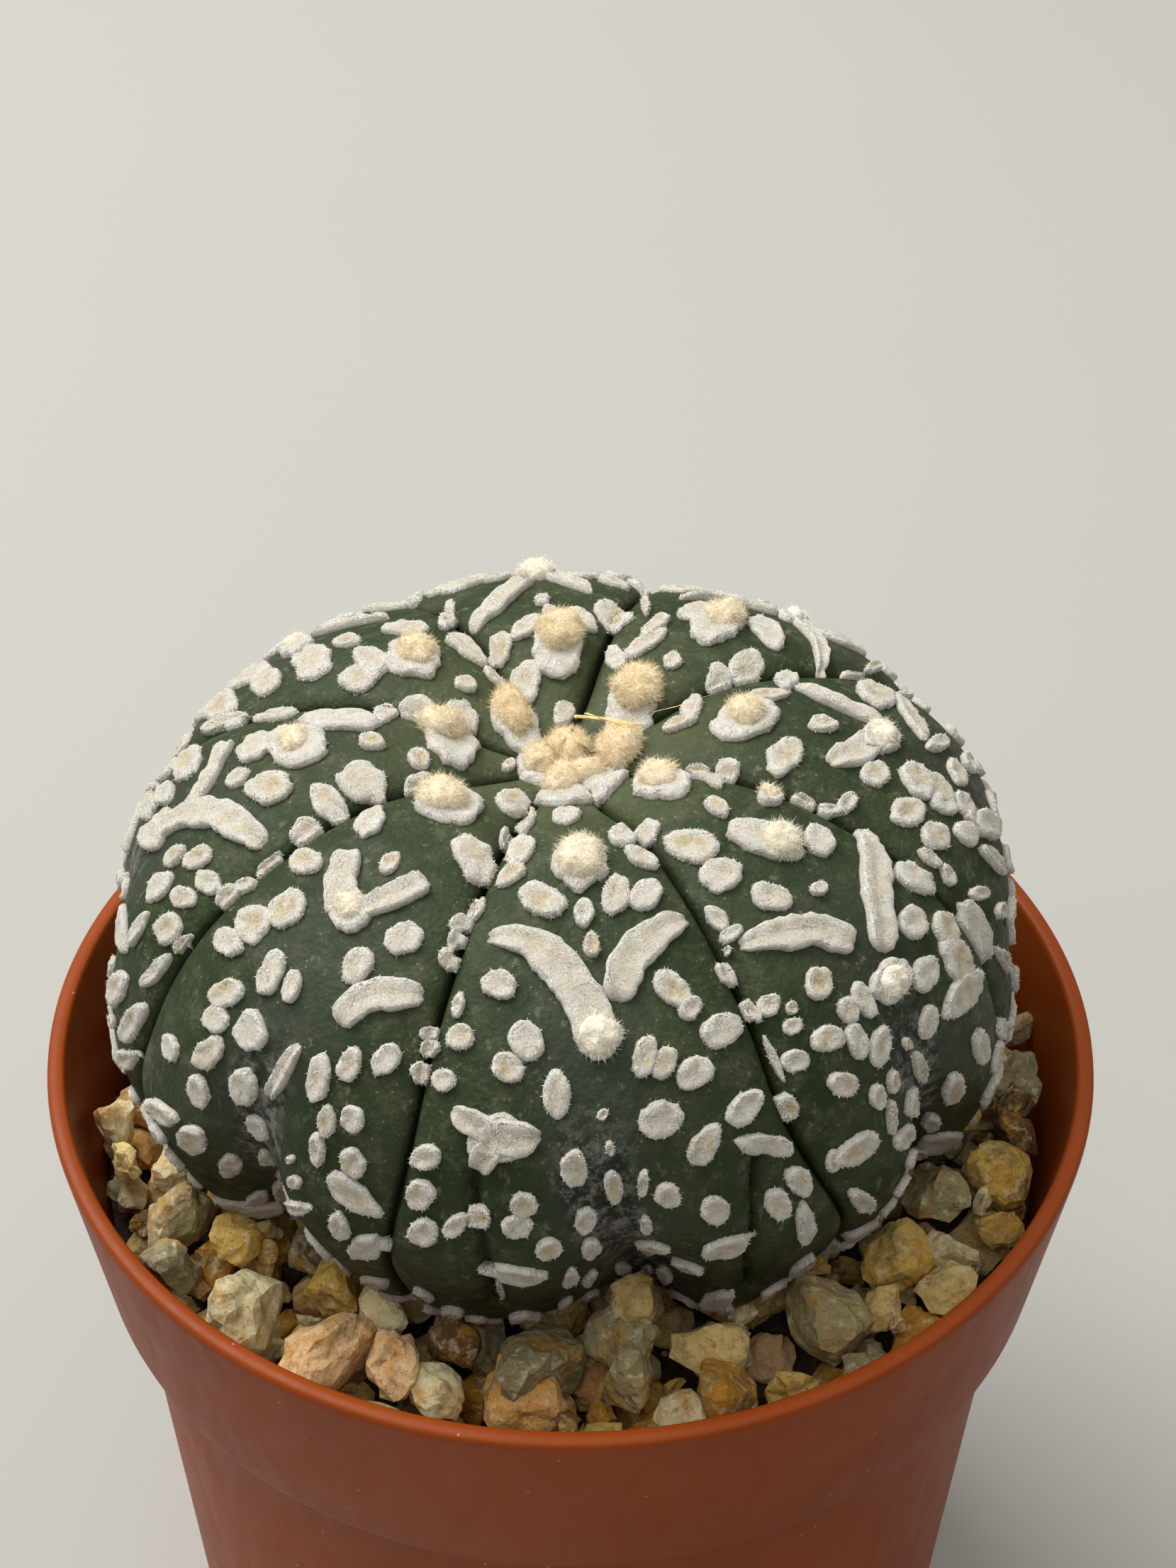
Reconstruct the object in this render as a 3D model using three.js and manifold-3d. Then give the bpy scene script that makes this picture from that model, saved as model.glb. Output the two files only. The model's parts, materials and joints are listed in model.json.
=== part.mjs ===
// A star cactus of the white-flecked "super kabuto" form in a round plastic nursery pot.
// Millimetres, +Z up. The origin is the middle of the ring that the pot stands on.
import * as THREE from 'three';
import { mergeVertices } from 'three/addons/utils/BufferGeometryUtils.js';
import Module from 'manifold-3d';

const wasm = await Module();
wasm.setup();

// Driving dimensions of the pot.
const potHeight = 75;
const rimRadius = 42.5;
const wall = 1.45;
const collarDrop = 17.8;
const collarFootRadius = 40.1;
const ledgeHeight = 2.2;
const bodyTopRadius = 37.85;
const baseRadius = 34.3;
const floorRise = 1.6;
const footRingWidth = 4.2;
const drainHoles = 6;
const drainHoleRadius = 3.2;
const drainCircleRadius = 20;
const potSides = 64;

// Driving dimensions of what fills the pot, measured down from the rim.
const soilDrop = 13.8;
const gravelBedDrop = 9.2;
const fillGap = 0.3;
const stoneCount = 94;
const stoneSize = 5.9;

// The cactus is drawn in a frame of its own whose height 0 is the level of the pot's rim.
// Its meridian runs from the middle of the crown over the shoulder and down under the body.
const meridian = [
  [0, 26.3], [3, 26.9], [6.5, 28.2], [10.5, 29.5], [15, 29.9], [20, 28.9], [25, 26.6], [29.6, 23.4],
  [33.1, 18.8], [35.2, 12.6], [36.4, 6], [36.2, 0], [34.6, -4], [31, -7], [26.5, -9.2],
].map(([r, z]) => new THREE.Vector2(r, z));
const plantOffset = [-1, 0, potHeight];
const rootRings = [[12, -11.4], [7, -14.5], [4, -25]];
const rootTipDepth = 36;
const baseSteps = 48;

// Each rib: the direction of its areole line in degrees, the crease after it, how far the two
// wander sideways by the time they reach the base, how deep the hollow under the line grows,
// and where the areoles sit, measured along the meridian from the middle of the crown.
const ribs = [
  { line: 274, crease: 299, wander: [11, 14], hollow: 4.8, areoles: [4.6, 16, 31] },
  { line: 320, crease: 341, wander: [10, 8], hollow: 5.2, areoles: [3.8, 9.6, 20.2, 34.5] },
  { line: 366, crease: 389, wander: [4, 2], hollow: 5, areoles: [4.4, 13.8, 25, 36] },
  { line: 407, crease: 434, wander: [0, 0], hollow: 5, areoles: [8, 19, 29] },
  { line: 455, crease: 478, wander: [0, 0], hollow: 5, areoles: [1.9, 11.4, 27] },
  { line: 504, crease: 524, wander: [0, -2], hollow: 5, areoles: [6.4, 15.3, 29] },
  { line: 545, crease: 568, wander: [-6, -5], hollow: 5, areoles: [9.4, 20.8, 33.6] },
  { line: 591, crease: 612, wander: [-4, -5], hollow: 7.2, areoles: [3.6, 13, 24.5, 39] },
];

// Relief of the skin.
const fleckHeight = 0.55;
const fleckBevel = 0.3;
const fleckCandidates = 6000;
const fleckSpacing = 0.8;
const tuftHeight = 1.9;
const clearance = 1.25;

// A small repeatable random source, so that every build gives the same plant.
function randomSource(seed) {
  let state = seed;
  return () => {
    state = (state + 0x6d2b79f5) >>> 0;
    let t = state;
    t = Math.imul(t ^ (t >>> 15), t | 1);
    t ^= t + Math.imul(t ^ (t >>> 7), t | 61);
    return ((t ^ (t >>> 14)) >>> 0) / 4294967296;
  };
}

const radians = THREE.MathUtils.degToRad;
const { lerp, smoothstep } = THREE.MathUtils;

// Meshes and solids.

function plainGeometry(positions, triangles) {
  const geometry = new THREE.BufferGeometry();
  geometry.setAttribute('position', new THREE.Float32BufferAttribute(positions, 3));
  geometry.setIndex(triangles);
  return geometry;
}

function toSolid(geometry) {
  const bare = geometry.clone();
  bare.deleteAttribute('normal');
  bare.deleteAttribute('uv');
  const merged = mergeVertices(bare, 1e-4);
  const triangles = [];
  const index = merged.index.array;
  for (let i = 0; i < index.length; i += 3) {
    const [a, b, c] = index.slice(i, i + 3);
    if (a !== b && b !== c && c !== a) {
      triangles.push(a, b, c);
    }
  }
  return new wasm.Manifold(new wasm.Mesh({
    numProp: 3,
    vertProperties: new Float32Array(merged.attributes.position.array),
    triVerts: new Uint32Array(triangles),
  }));
}

function toGeometry(solid) {
  const mesh = solid.getMesh();
  return plainGeometry(Array.from(mesh.vertProperties), Array.from(mesh.triVerts));
}

function turned(profile, sides) {
  const points = profile.map(([r, z]) => new THREE.Vector2(r, z));
  return new THREE.LatheGeometry(points, sides).rotateX(Math.PI / 2);
}

// The pot: one closed profile, with drain holes cut through its floor.

function potWallRadius(z) {
  const collarFoot = potHeight - collarDrop;
  if (z >= collarFoot) {
    return lerp(collarFootRadius, rimRadius, (z - collarFoot) / collarDrop);
  }
  const bodyTop = collarFoot - ledgeHeight;
  if (z >= bodyTop) {
    return lerp(bodyTopRadius, collarFootRadius, (z - bodyTop) / ledgeHeight);
  }
  return lerp(baseRadius, bodyTopRadius, z / bodyTop);
}

function potGeometry() {
  const collarFoot = potHeight - collarDrop;
  const bodyTop = collarFoot - ledgeHeight;
  const floorTop = floorRise + wall;
  const outside = [
    [0, floorRise],
    [baseRadius - footRingWidth - 0.5, floorRise],
    [baseRadius - footRingWidth, 0],
    [baseRadius - 0.3, 0],
    [potWallRadius(0.6), 0.6],
    [bodyTopRadius, bodyTop],
    [collarFootRadius, collarFoot],
    [rimRadius, potHeight - 0.5],
    [rimRadius - 0.25, potHeight],
  ];
  const inside = [
    [rimRadius - wall, potHeight],
    [collarFootRadius - wall, collarFoot + 0.4],
    [bodyTopRadius - wall, bodyTop + 0.4],
    [potWallRadius(floorTop) - wall, floorTop],
    [0, floorTop],
  ];
  let solid = toSolid(turned([...outside, ...inside], potSides));
  for (let i = 0; i < drainHoles; i += 1) {
    const angle = (i / drainHoles) * 2 * Math.PI;
    const drill = new THREE.CylinderGeometry(drainHoleRadius, drainHoleRadius, 8, 16).rotateX(Math.PI / 2);
    drill.translate(drainCircleRadius * Math.cos(angle), drainCircleRadius * Math.sin(angle), floorTop);
    solid = solid.subtract(toSolid(drill));
  }
  return toGeometry(solid);
}

// The inside of the pot, drawn in by the gap that the filling keeps to the wall.

function fillProfile(bottom, top) {
  const collarFoot = potHeight - collarDrop + 0.4;
  const bodyTop = collarFoot - ledgeHeight;
  const inner = (z) => potWallRadius(z - 0.4) - wall - fillGap;
  const corners = [bodyTop, collarFoot].filter((z) => z > bottom && z < top);
  const side = [bottom, ...corners, top].map((z) => [inner(z), z]);
  return [[0, bottom], ...side, [0, top]];
}

// The skin of the cactus.

const meridianCurve = new THREE.SplineCurve(meridian);
const meridianSamples = 600;
const along = [];
for (let i = 0; i <= meridianSamples; i += 1) {
  const point = meridianCurve.getPoint(i / meridianSamples);
  const last = along[i - 1];
  const step = last ? Math.hypot(point.x - last.r, point.y - last.z) : 0;
  const arc = last ? last.arc + step : 0;
  // The unrolled radius grows so that small shapes keep their form when they are laid flat.
  const unrolled = last && i > 1 ? last.unrolled * Math.exp(step / ((point.x + last.r) / 2)) : point.x;
  along.push({ r: point.x, z: point.y, arc, unrolled });
}
const meridianLength = along[meridianSamples].arc;

function onMeridian(key, value) {
  let low = 0;
  let high = meridianSamples;
  while (high - low > 1) {
    const middle = (low + high) >> 1;
    if (along[middle][key] <= value) {
      low = middle;
    } else {
      high = middle;
    }
  }
  const a = along[low];
  const b = along[high];
  const t = (value - a[key]) / (b[key] - a[key]);
  const step = Math.hypot(b.r - a.r, b.z - a.z);
  return {
    r: lerp(a.r, b.r, t),
    z: lerp(a.z, b.z, t),
    arc: lerp(a.arc, b.arc, t),
    unrolled: lerp(a.unrolled, b.unrolled, t),
    outward: [(a.z - b.z) / step, (b.r - a.r) / step],
  };
}

// Where a direction falls on its rib: 0 on the areole line, -1 and 1 in the creases beside it.
function acrossRib(degrees) {
  const lastRib = ribs[ribs.length - 1];
  const firstCrease = lastRib.crease - 360;
  const turnedTo = firstCrease + ((((degrees - firstCrease) % 360) + 360) % 360);
  const index = ribs.findIndex((rib) => turnedTo <= rib.crease);
  const rib = ribs[index];
  const before = index > 0 ? ribs[index - 1] : lastRib;
  const left = turnedTo < rib.line;
  const halfWidth = left ? rib.line - (index > 0 ? before.crease : firstCrease) : rib.crease - rib.line;
  const u = (turnedTo - rib.line) / halfWidth;
  const wander = lerp(rib.wander[0], left ? before.wander[1] : rib.wander[1], Math.abs(u));
  return { u, halfWidth: radians(halfWidth), wander, hollow: rib.hollow };
}

// How far the skin lies below the meridian: narrow creases between gently domed ribs.
function skinDepth(place, degrees) {
  const { u, halfWidth } = acrossRib(degrees);
  const toCrease = (1 - Math.abs(u)) * halfWidth * place.r;
  const upper = smoothstep(place.z, 6, 20);
  const nearCrown = smoothstep(place.arc, 1, 9);
  const crease = lerp(1.1, 1.4, upper) * nearCrown * Math.exp(-toCrease / 0.65);
  const doming = lerp(0.4, 0.8, upper) * nearCrown * Math.abs(u) ** 3;
  return crease + doming;
}

// Lower down, a hollow follows each areole line and deepens towards the base.
const hollowHalfWidth = 5.2;

// The body draws in under itself on one side, where it faces the light, and the shoulder
// is fuller on another.
const undercutSide = 265;
const undercut = 5.9;
const fullSide = 20;
const fullness = 1.7;

function facing(degrees, side, narrowing) {
  return Math.max(0, Math.cos(radians(degrees - side))) ** narrowing;
}

function drawnIn(place, degrees) {
  const { u, halfWidth, hollow } = acrossRib(degrees);
  const fromLine = (u * halfWidth * place.r) / hollowHalfWidth;
  const growing = smoothstep(-place.z, -23, 6) ** 1.5 * smoothstep(place.arc, 20, 30);
  const under = undercut * facing(degrees, undercutSide, 1.4) * smoothstep(-place.z, -13, 3.3);
  const shoulder = smoothstep(place.z, 10, 19) * smoothstep(place.arc, 18, 28);
  return hollow * growing * Math.exp(-fromLine * fromLine) + under
    - fullness * facing(degrees, fullSide, 4) * shoulder;
}

function bodyPoint(place, angle, lift) {
  const degrees = THREE.MathUtils.radToDeg(angle);
  const r = place.r + lift * place.outward[0] - drawnIn(place, degrees);
  const turnedTo = angle + radians(acrossRib(degrees).wander) * smoothstep(-place.z, -22, 4);
  return [r * Math.cos(turnedTo), r * Math.sin(turnedTo), place.z + lift * place.outward[1]];
}

function skinPoint(unrolledX, unrolledY, height) {
  const angle = Math.atan2(unrolledY, unrolledX);
  const place = onMeridian('unrolled', Math.hypot(unrolledX, unrolledY));
  return bodyPoint(place, angle, height - skinDepth(place, THREE.MathUtils.radToDeg(angle)));
}

// Places on the skin are given by arc (along the meridian) and side (across the rib, in mm).
function unroll(rib, arc, side) {
  const place = onMeridian('arc', arc);
  const angle = radians(ribs[rib].line) + side / place.r;
  return {
    x: place.unrolled * Math.cos(angle),
    y: place.unrolled * Math.sin(angle),
    angle,
    scale: place.unrolled / place.r,
  };
}

// The distance from a rib's areole line to the crease on one side of it, in mm.
function halfRibWidth(rib, hand, arc) {
  const before = rib > 0 ? ribs[rib - 1].crease : ribs[ribs.length - 1].crease - 360;
  const span = hand < 0 ? ribs[rib].line - before : ribs[rib].crease - ribs[rib].line;
  return radians(span) * onMeridian('arc', arc).r;
}

// Delaunay triangles of flat points, added from left to right.
function triangulate(points) {
  const far = 4000;
  const all = [...points, { x: -far, y: -far }, { x: far, y: -far }, { x: 0, y: far }];
  const circle = (a, b, c) => {
    const [p, q, s] = [all[a], all[b], all[c]];
    const d = 2 * (p.x * (q.y - s.y) + q.x * (s.y - p.y) + s.x * (p.y - q.y));
    const [pp, qq, ss] = [p, q, s].map((v) => v.x * v.x + v.y * v.y);
    const x = (pp * (q.y - s.y) + qq * (s.y - p.y) + ss * (p.y - q.y)) / d;
    const y = (pp * (s.x - q.x) + qq * (p.x - s.x) + ss * (q.x - p.x)) / d;
    return { corners: d > 0 ? [a, b, c] : [a, c, b], x, y, rr: (p.x - x) ** 2 + (p.y - y) ** 2 };
  };
  const order = points.map((_, i) => i).sort((a, b) => points[a].x - points[b].x);
  const finished = [];
  let open = [circle(points.length, points.length + 1, points.length + 2)];
  for (const i of order) {
    const p = all[i];
    const edges = new Map();
    open = open.filter((triangle) => {
      const dx = p.x - triangle.x;
      if (dx > 0 && dx * dx > triangle.rr) {
        finished.push(triangle);
        return false;
      }
      if (dx * dx + (p.y - triangle.y) ** 2 >= triangle.rr) {
        return true;
      }
      const [a, b, c] = triangle.corners;
      for (const [from, to] of [[a, b], [b, c], [c, a]]) {
        const shared = `${to},${from}`;
        if (edges.has(shared)) {
          edges.delete(shared);
        } else {
          edges.set(`${from},${to}`, [from, to]);
        }
      }
      return false;
    });
    for (const [from, to] of edges.values()) {
      open.push(circle(from, to, i));
    }
  }
  return [...finished, ...open]
    .map((triangle) => triangle.corners)
    .filter((corners) => corners.every((corner) => corner < points.length));
}

// A raised patch is a row of rings: each has its outline in the plane of the skin
// (arc and side in mm from the patch's middle) and its height above the skin.
const vertices = [];
const taken = [];

function addVertex(rib, arc, side, height) {
  const { x, y } = unroll(rib, arc, side);
  vertices.push({ x, y, height });
}

// An oval patch round a place on the skin, its long axis turned by tilt from the meridian.
// Each level is a ring of the same corners, drawn in by an inset and raised to a height.
function addOval(middle, halfLength, halfWidth, tilt, corners, levels, random) {
  const start = random() * 2 * Math.PI;
  const turn = middle.angle + tilt;
  for (let k = 0; k < corners; k += 1) {
    const around = start + ((k + 0.25 * (random() - 0.5)) / corners) * 2 * Math.PI;
    const ragged = 1 + 0.12 * (random() - 0.5);
    for (const [inset, height] of levels) {
      const x = middle.scale * (halfLength * ragged - inset) * Math.cos(around);
      const y = middle.scale * (halfWidth * ragged - inset) * Math.sin(around);
      vertices.push({
        x: middle.x + x * Math.cos(turn) - y * Math.sin(turn),
        y: middle.y + x * Math.sin(turn) + y * Math.cos(turn),
        height,
      });
    }
  }
}

function claim(middle, radius) {
  taken.push({ x: middle.x, y: middle.y, radius: radius * middle.scale });
}

function isFree(middle, radius, gap) {
  return taken.every((other) => {
    const reach = other.radius + (radius + gap) * middle.scale;
    return (middle.x - other.x) ** 2 + (middle.y - other.y) ** 2 > reach * reach;
  });
}

// An areole is a domed tuft of wool on a low oval pad.
function addAreole(rib, arc, random) {
  const size = lerp(0.8, 1, smoothstep(arc, 3, 10));
  const middle = unroll(rib, arc, 0);
  const pad = [[0, 0], [fleckBevel, fleckHeight]];
  const tuft = [[0, fleckHeight], [0.4, tuftHeight * 0.75]];
  addOval(middle, 2.2 * size, 2.7 * size, 0, 8, pad, random);
  addOval(middle, 1.5 * size, 1.6 * size, 0, 6, tuft, random);
  vertices.push({ x: middle.x, y: middle.y, height: tuftHeight });
  claim(middle, 2.5 * size);
}

// The arms of a chevron run from beside an areole up towards the two creases.
function addChevronArm(rib, areoleArc, hand, random) {
  const length = Math.min(7.5 + 2 * random(), areoleArc * 0.25);
  const halfWidth = 0.95 + 0.15 * random();
  const bend = 0.1 + 0.25 * random();
  const spine = [0, 0.25, 0.5, 0.75, 1].map((t) => {
    const heading = 0.62 + bend * t;
    const run = 2.6 + length * t;
    const arc = areoleArc - 1 - run * Math.cos(heading);
    const side = Math.min(0.9 + run * Math.sin(heading), halfRibWidth(rib, hand, arc) - halfWidth - 1.3);
    return { arc, side: hand * side };
  });
  const first = spine[0];
  const last = spine[spine.length - 1];
  const span = Math.hypot(last.arc - first.arc, last.side - first.side);
  const [alongArc, alongSide] = [(last.arc - first.arc) / span, (last.side - first.side) / span];
  for (const [outset, height] of [[fleckBevel, 0], [0, fleckHeight]]) {
    const ends = outset + halfWidth * 0.7;
    const half = outset + halfWidth;
    addVertex(rib, first.arc - ends * alongArc, first.side - ends * alongSide, height);
    addVertex(rib, last.arc + ends * alongArc, last.side + ends * alongSide, height);
    for (const { arc, side } of spine) {
      addVertex(rib, arc - half * alongSide, side + half * alongArc, height);
      addVertex(rib, arc + half * alongSide, side - half * alongArc, height);
    }
  }
  spine.forEach(({ arc, side }) => claim(unroll(rib, arc, side), halfWidth + fleckBevel));
}

// Flecks: each is placed at random where it is clear of all the others.
function addFlecks(random) {
  for (let n = 0; n < fleckCandidates; n += 1) {
    const rib = Math.floor(random() * ribs.length);
    const arc = lerp(6, meridianLength - 2.6, random());
    const across = 2 * random() - 1;
    const halfLength = lerp(1.1, 1.65, smoothstep(arc, 8, 20)) + 0.55 * random();
    const halfWidth = halfLength * (0.74 + 0.2 * random());
    const swing = (random() - 0.5) * 0.9;
    const halfRib = halfRibWidth(rib, across, arc);
    const side = across * halfRib;
    const reach = (halfLength + halfWidth) / 2;
    const band = 2.2 * smoothstep(-onMeridian('arc', arc).z, -20, 0);
    const room = halfRib - Math.abs(side) - halfWidth - 1;
    const middle = unroll(rib, arc, side);
    if (room > 0 && Math.abs(side) > band && isFree(middle, reach, fleckSpacing)) {
      const tilt = -Math.sign(side) * 0.85 + swing;
      const fine = halfLength < 1.7 ? 5 : 6;
      addOval(middle, halfLength, halfWidth, tilt, fine, [[0, 0], [fleckBevel, fleckHeight]], random);
      claim(middle, reach);
    }
  }
}

// Each crease is followed by its bottom and two rounded shoulders.
function addCreases() {
  for (let rib = 0; rib < ribs.length; rib += 1) {
    const steps = 15;
    for (let k = 0; k < steps; k += 1) {
      const arc = lerp(3.4, meridianLength - 2.6, k / (steps - 1));
      const middle = halfRibWidth(rib, 1, arc);
      for (const offset of [-0.7, 0, 0.7]) {
        const stagger = offset === 0 ? 0 : 0.9;
        addVertex(rib, arc + stagger, middle + offset, 0);
      }
    }
  }
}

// Plain skin points where no patch stands, so that hollows and lobes keep their form.
function addPlainSkin(random) {
  for (let n = 0; n < 1200; n += 1) {
    const rib = Math.floor(random() * ribs.length);
    const arc = lerp(2.5, meridianLength - 2, random());
    const across = 2 * random() - 1;
    const halfRib = halfRibWidth(rib, across, arc);
    const side = across * halfRib;
    const middle = unroll(rib, arc, side);
    if (halfRib - Math.abs(side) > 1.8 && isFree(middle, 1.1, 0.5)) {
      vertices.push({ x: middle.x, y: middle.y, height: 0 });
      claim(middle, 1.1);
    }
  }
}

// Under the last ring of the skin, more rings draw in to the root and its tip.
function closeBelow(positions, triangles, firstRing, gap) {
  let ring = firstRing;
  for (const [radius, z] of rootRings) {
    const next = [];
    for (let k = 0; k < baseSteps; k += 1) {
      const angle = (k / baseSteps) * 2 * Math.PI;
      next.push(positions.length / 3);
      positions.push((radius + gap) * Math.cos(angle), (radius + gap) * Math.sin(angle), z - gap * 0.6);
    }
    for (let k = 0; k < baseSteps; k += 1) {
      const m = (k + 1) % baseSteps;
      triangles.push(ring[k], next[k], ring[m], next[k], next[m], ring[m]);
    }
    ring = next;
  }
  const tip = positions.length / 3;
  positions.push(0, 0, -rootTipDepth - gap * 2);
  for (let k = 0; k < baseSteps; k += 1) {
    triangles.push(ring[k], tip, ring[(k + 1) % baseSteps]);
  }
}

function baseRing() {
  const radius = along[meridianSamples].unrolled;
  return Array.from({ length: baseSteps }, (_, k) => {
    const angle = (k / baseSteps) * 2 * Math.PI;
    return { x: radius * Math.cos(angle), y: radius * Math.sin(angle), height: 0 };
  });
}

function cactusGeometry() {
  const random = randomSource(20);
  vertices.push(...baseRing());
  vertices.push({ x: 0.01, y: 0.02, height: 0 });
  ribs.forEach((rib, index) => rib.areoles.forEach((arc) => addAreole(index, arc, random)));
  ribs.forEach((rib, index) => {
    const arc = rib.areoles.find((value) => value > 22);
    addChevronArm(index, arc, -1, random);
    addChevronArm(index, arc, 1, random);
  });
  addFlecks(random);
  addPlainSkin(random);
  addCreases();
  const positions = vertices.flatMap(({ x, y, height }) => skinPoint(x, y, height));
  const triangles = triangulate(vertices).flat();
  closeBelow(positions, triangles, Array.from({ length: baseSteps }, (_, k) => k), 0);
  return plainGeometry(positions, triangles);
}

// A plain body that stands off the skin on every side, for cutting the plant's seat in the grit.
function seatGeometry(gap) {
  const rings = 9;
  const start = 30;
  const positions = [];
  const triangles = [];
  const top = onMeridian('arc', start);
  positions.push(0, 0, top.z + gap);
  for (let j = 0; j <= rings; j += 1) {
    const place = onMeridian('arc', lerp(start, meridianLength, j / rings));
    for (let k = 0; k < baseSteps; k += 1) {
      const angle = (k / baseSteps) * 2 * Math.PI;
      positions.push(...bodyPoint(place, angle, gap));
    }
  }
  const row = (j) => Array.from({ length: baseSteps }, (_, k) => 1 + j * baseSteps + k);
  for (let k = 0; k < baseSteps; k += 1) {
    triangles.push(0, row(0)[k], row(0)[(k + 1) % baseSteps]);
  }
  for (let j = 0; j < rings; j += 1) {
    for (let k = 0; k < baseSteps; k += 1) {
      const m = (k + 1) % baseSteps;
      triangles.push(row(j)[k], row(j + 1)[k], row(j)[m], row(j + 1)[k], row(j + 1)[m], row(j)[m]);
    }
  }
  closeBelow(positions, triangles, row(rings), gap);
  return plainGeometry(positions, triangles);
}

// Grit: rough angular stones fused on a bed of smaller stuff.

function stoneGeometry(random, size) {
  const block = new THREE.BoxGeometry(size * 1.1, size * 0.85, size * 0.8);
  block.deleteAttribute('normal');
  block.deleteAttribute('uv');
  const rough = mergeVertices(block, 1e-4);
  const position = rough.attributes.position;
  for (let i = 0; i < position.count; i += 1) {
    const swell = 0.7 + 0.45 * random();
    position.setXYZ(i, position.getX(i) * swell, position.getY(i) * swell, position.getZ(i) * swell);
  }
  rough.rotateX((random() - 0.5) * 1.6);
  rough.rotateY((random() - 0.5) * 1.6);
  rough.rotateZ(random() * 2 * Math.PI);
  return rough;
}

function gravelGeometry() {
  const random = randomSource(7);
  const top = potHeight - gravelBedDrop;
  const bottom = potHeight - soilDrop + fillGap;
  let grit = toSolid(turned(fillProfile(bottom, top), potSides));
  const placed = [];
  const stones = [];
  for (let tries = 0; tries < 4000 && stones.length < stoneCount; tries += 1) {
    const angle = random() * 2 * Math.PI;
    const outer = rimRadius - wall - stoneSize * 0.6;
    const radius = Math.sqrt(lerp(24 ** 2, outer ** 2, random()));
    const size = stoneSize * (0.7 + 0.55 * random() ** 1.5);
    const x = radius * Math.cos(angle);
    const y = radius * Math.sin(angle);
    if (placed.every((other) => Math.hypot(other.x - x, other.y - y) > 0.44 * (other.size + size))) {
      placed.push({ x, y, size });
      const stone = stoneGeometry(random, size);
      stone.translate(x, y, top + 0.2 + 0.9 * random());
      stones.push(toSolid(stone));
    }
  }
  grit = wasm.Manifold.union([grit, ...stones]);
  const inside = toSolid(turned(fillProfile(bottom, potHeight - 1), potSides));
  const seat = toSolid(seatGeometry(clearance).translate(...plantOffset));
  grit = grit.intersect(inside).subtract(seat);
  const pieces = grit.decompose().sort((a, b) => b.volume() - a.volume());
  return toGeometry(pieces[0]);
}

function soilGeometry() {
  const bottom = floorRise + wall + fillGap;
  const soil = toSolid(turned(fillProfile(bottom, potHeight - soilDrop), potSides));
  const seat = toSolid(seatGeometry(clearance).translate(...plantOffset));
  return toGeometry(soil.subtract(seat));
}

// The assembly.

function addPiece(group, name, geometry, colour, roughness) {
  const material = new THREE.MeshStandardMaterial({ color: colour, roughness, metalness: 0 });
  const mesh = new THREE.Mesh(geometry, material);
  mesh.name = name;
  group.add(mesh);
  return mesh;
}

const group = new THREE.Group();
addPiece(group, 'pot', potGeometry(), 0xa75a34, 0.5);
addPiece(group, 'soil', soilGeometry(), 0x33271d, 0.95);
addPiece(group, 'gravel', gravelGeometry(), 0xc39a5e, 0.8);
addPiece(group, 'cactus', cactusGeometry(), 0x3f5138, 0.7).position.set(...plantOffset);

export default group;
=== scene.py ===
# %% [markdown]
# # A star cactus in a nursery pot
# The part is a "super kabuto" star cactus: a low, ribbed dome with raised white felt flecks and
# woolly areoles, set in a top dressing of broken quartz, in a round terracotta-coloured pot.
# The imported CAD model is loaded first. It fixes every size and place, and the pieces made
# below stand where its solids stand, in metres, with +Z up.

# %% Load the frame
import json
import math
import random

import bmesh
import bpy
import numpy as np
from mathutils import Matrix, Vector
from mathutils.bvhtree import BVHTree

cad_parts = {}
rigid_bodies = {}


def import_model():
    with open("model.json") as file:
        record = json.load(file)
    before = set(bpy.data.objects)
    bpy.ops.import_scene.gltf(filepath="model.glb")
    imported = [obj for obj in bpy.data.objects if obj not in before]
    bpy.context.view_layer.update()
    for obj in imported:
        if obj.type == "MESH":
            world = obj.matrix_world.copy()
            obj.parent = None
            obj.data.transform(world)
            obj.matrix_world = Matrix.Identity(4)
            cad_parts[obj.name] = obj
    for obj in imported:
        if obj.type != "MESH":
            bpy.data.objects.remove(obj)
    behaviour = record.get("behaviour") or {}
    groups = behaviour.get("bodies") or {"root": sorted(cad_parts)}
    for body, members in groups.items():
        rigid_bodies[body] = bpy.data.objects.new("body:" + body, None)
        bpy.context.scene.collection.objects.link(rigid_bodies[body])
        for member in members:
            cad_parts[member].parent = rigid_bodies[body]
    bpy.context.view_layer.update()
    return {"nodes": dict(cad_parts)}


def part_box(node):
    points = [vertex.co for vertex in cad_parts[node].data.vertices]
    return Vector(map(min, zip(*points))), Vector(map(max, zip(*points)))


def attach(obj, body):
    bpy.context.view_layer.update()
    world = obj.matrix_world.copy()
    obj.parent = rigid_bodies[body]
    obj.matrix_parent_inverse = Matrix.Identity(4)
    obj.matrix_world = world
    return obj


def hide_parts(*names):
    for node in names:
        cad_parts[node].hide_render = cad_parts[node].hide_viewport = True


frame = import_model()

MM = 0.001
pot_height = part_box("pot")[1].z
print("nodes:", sorted(frame["nodes"]), "pot height", round(pot_height, 4))

# %% [markdown]
# ## Camera
# The camera stands where the photograph was taken from. Its place was worked out from the
# two ellipses of the pot's rim, so a point of the object and its picture point match.
# The photograph is 1659 x 2212 pixels, and a ray through a pixel is used later to find
# the place on the plant that the pixel shows.

# %% Camera
photo_width, photo_height = 1659, 2212
focal_pixels = 3800
camera_place = Vector((0, -158.12, 155.15)) * MM + Vector((0, 0, pot_height))
pitch, yaw, roll = (math.radians(v) for v in (39.479, 0.433, -0.509))

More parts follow.
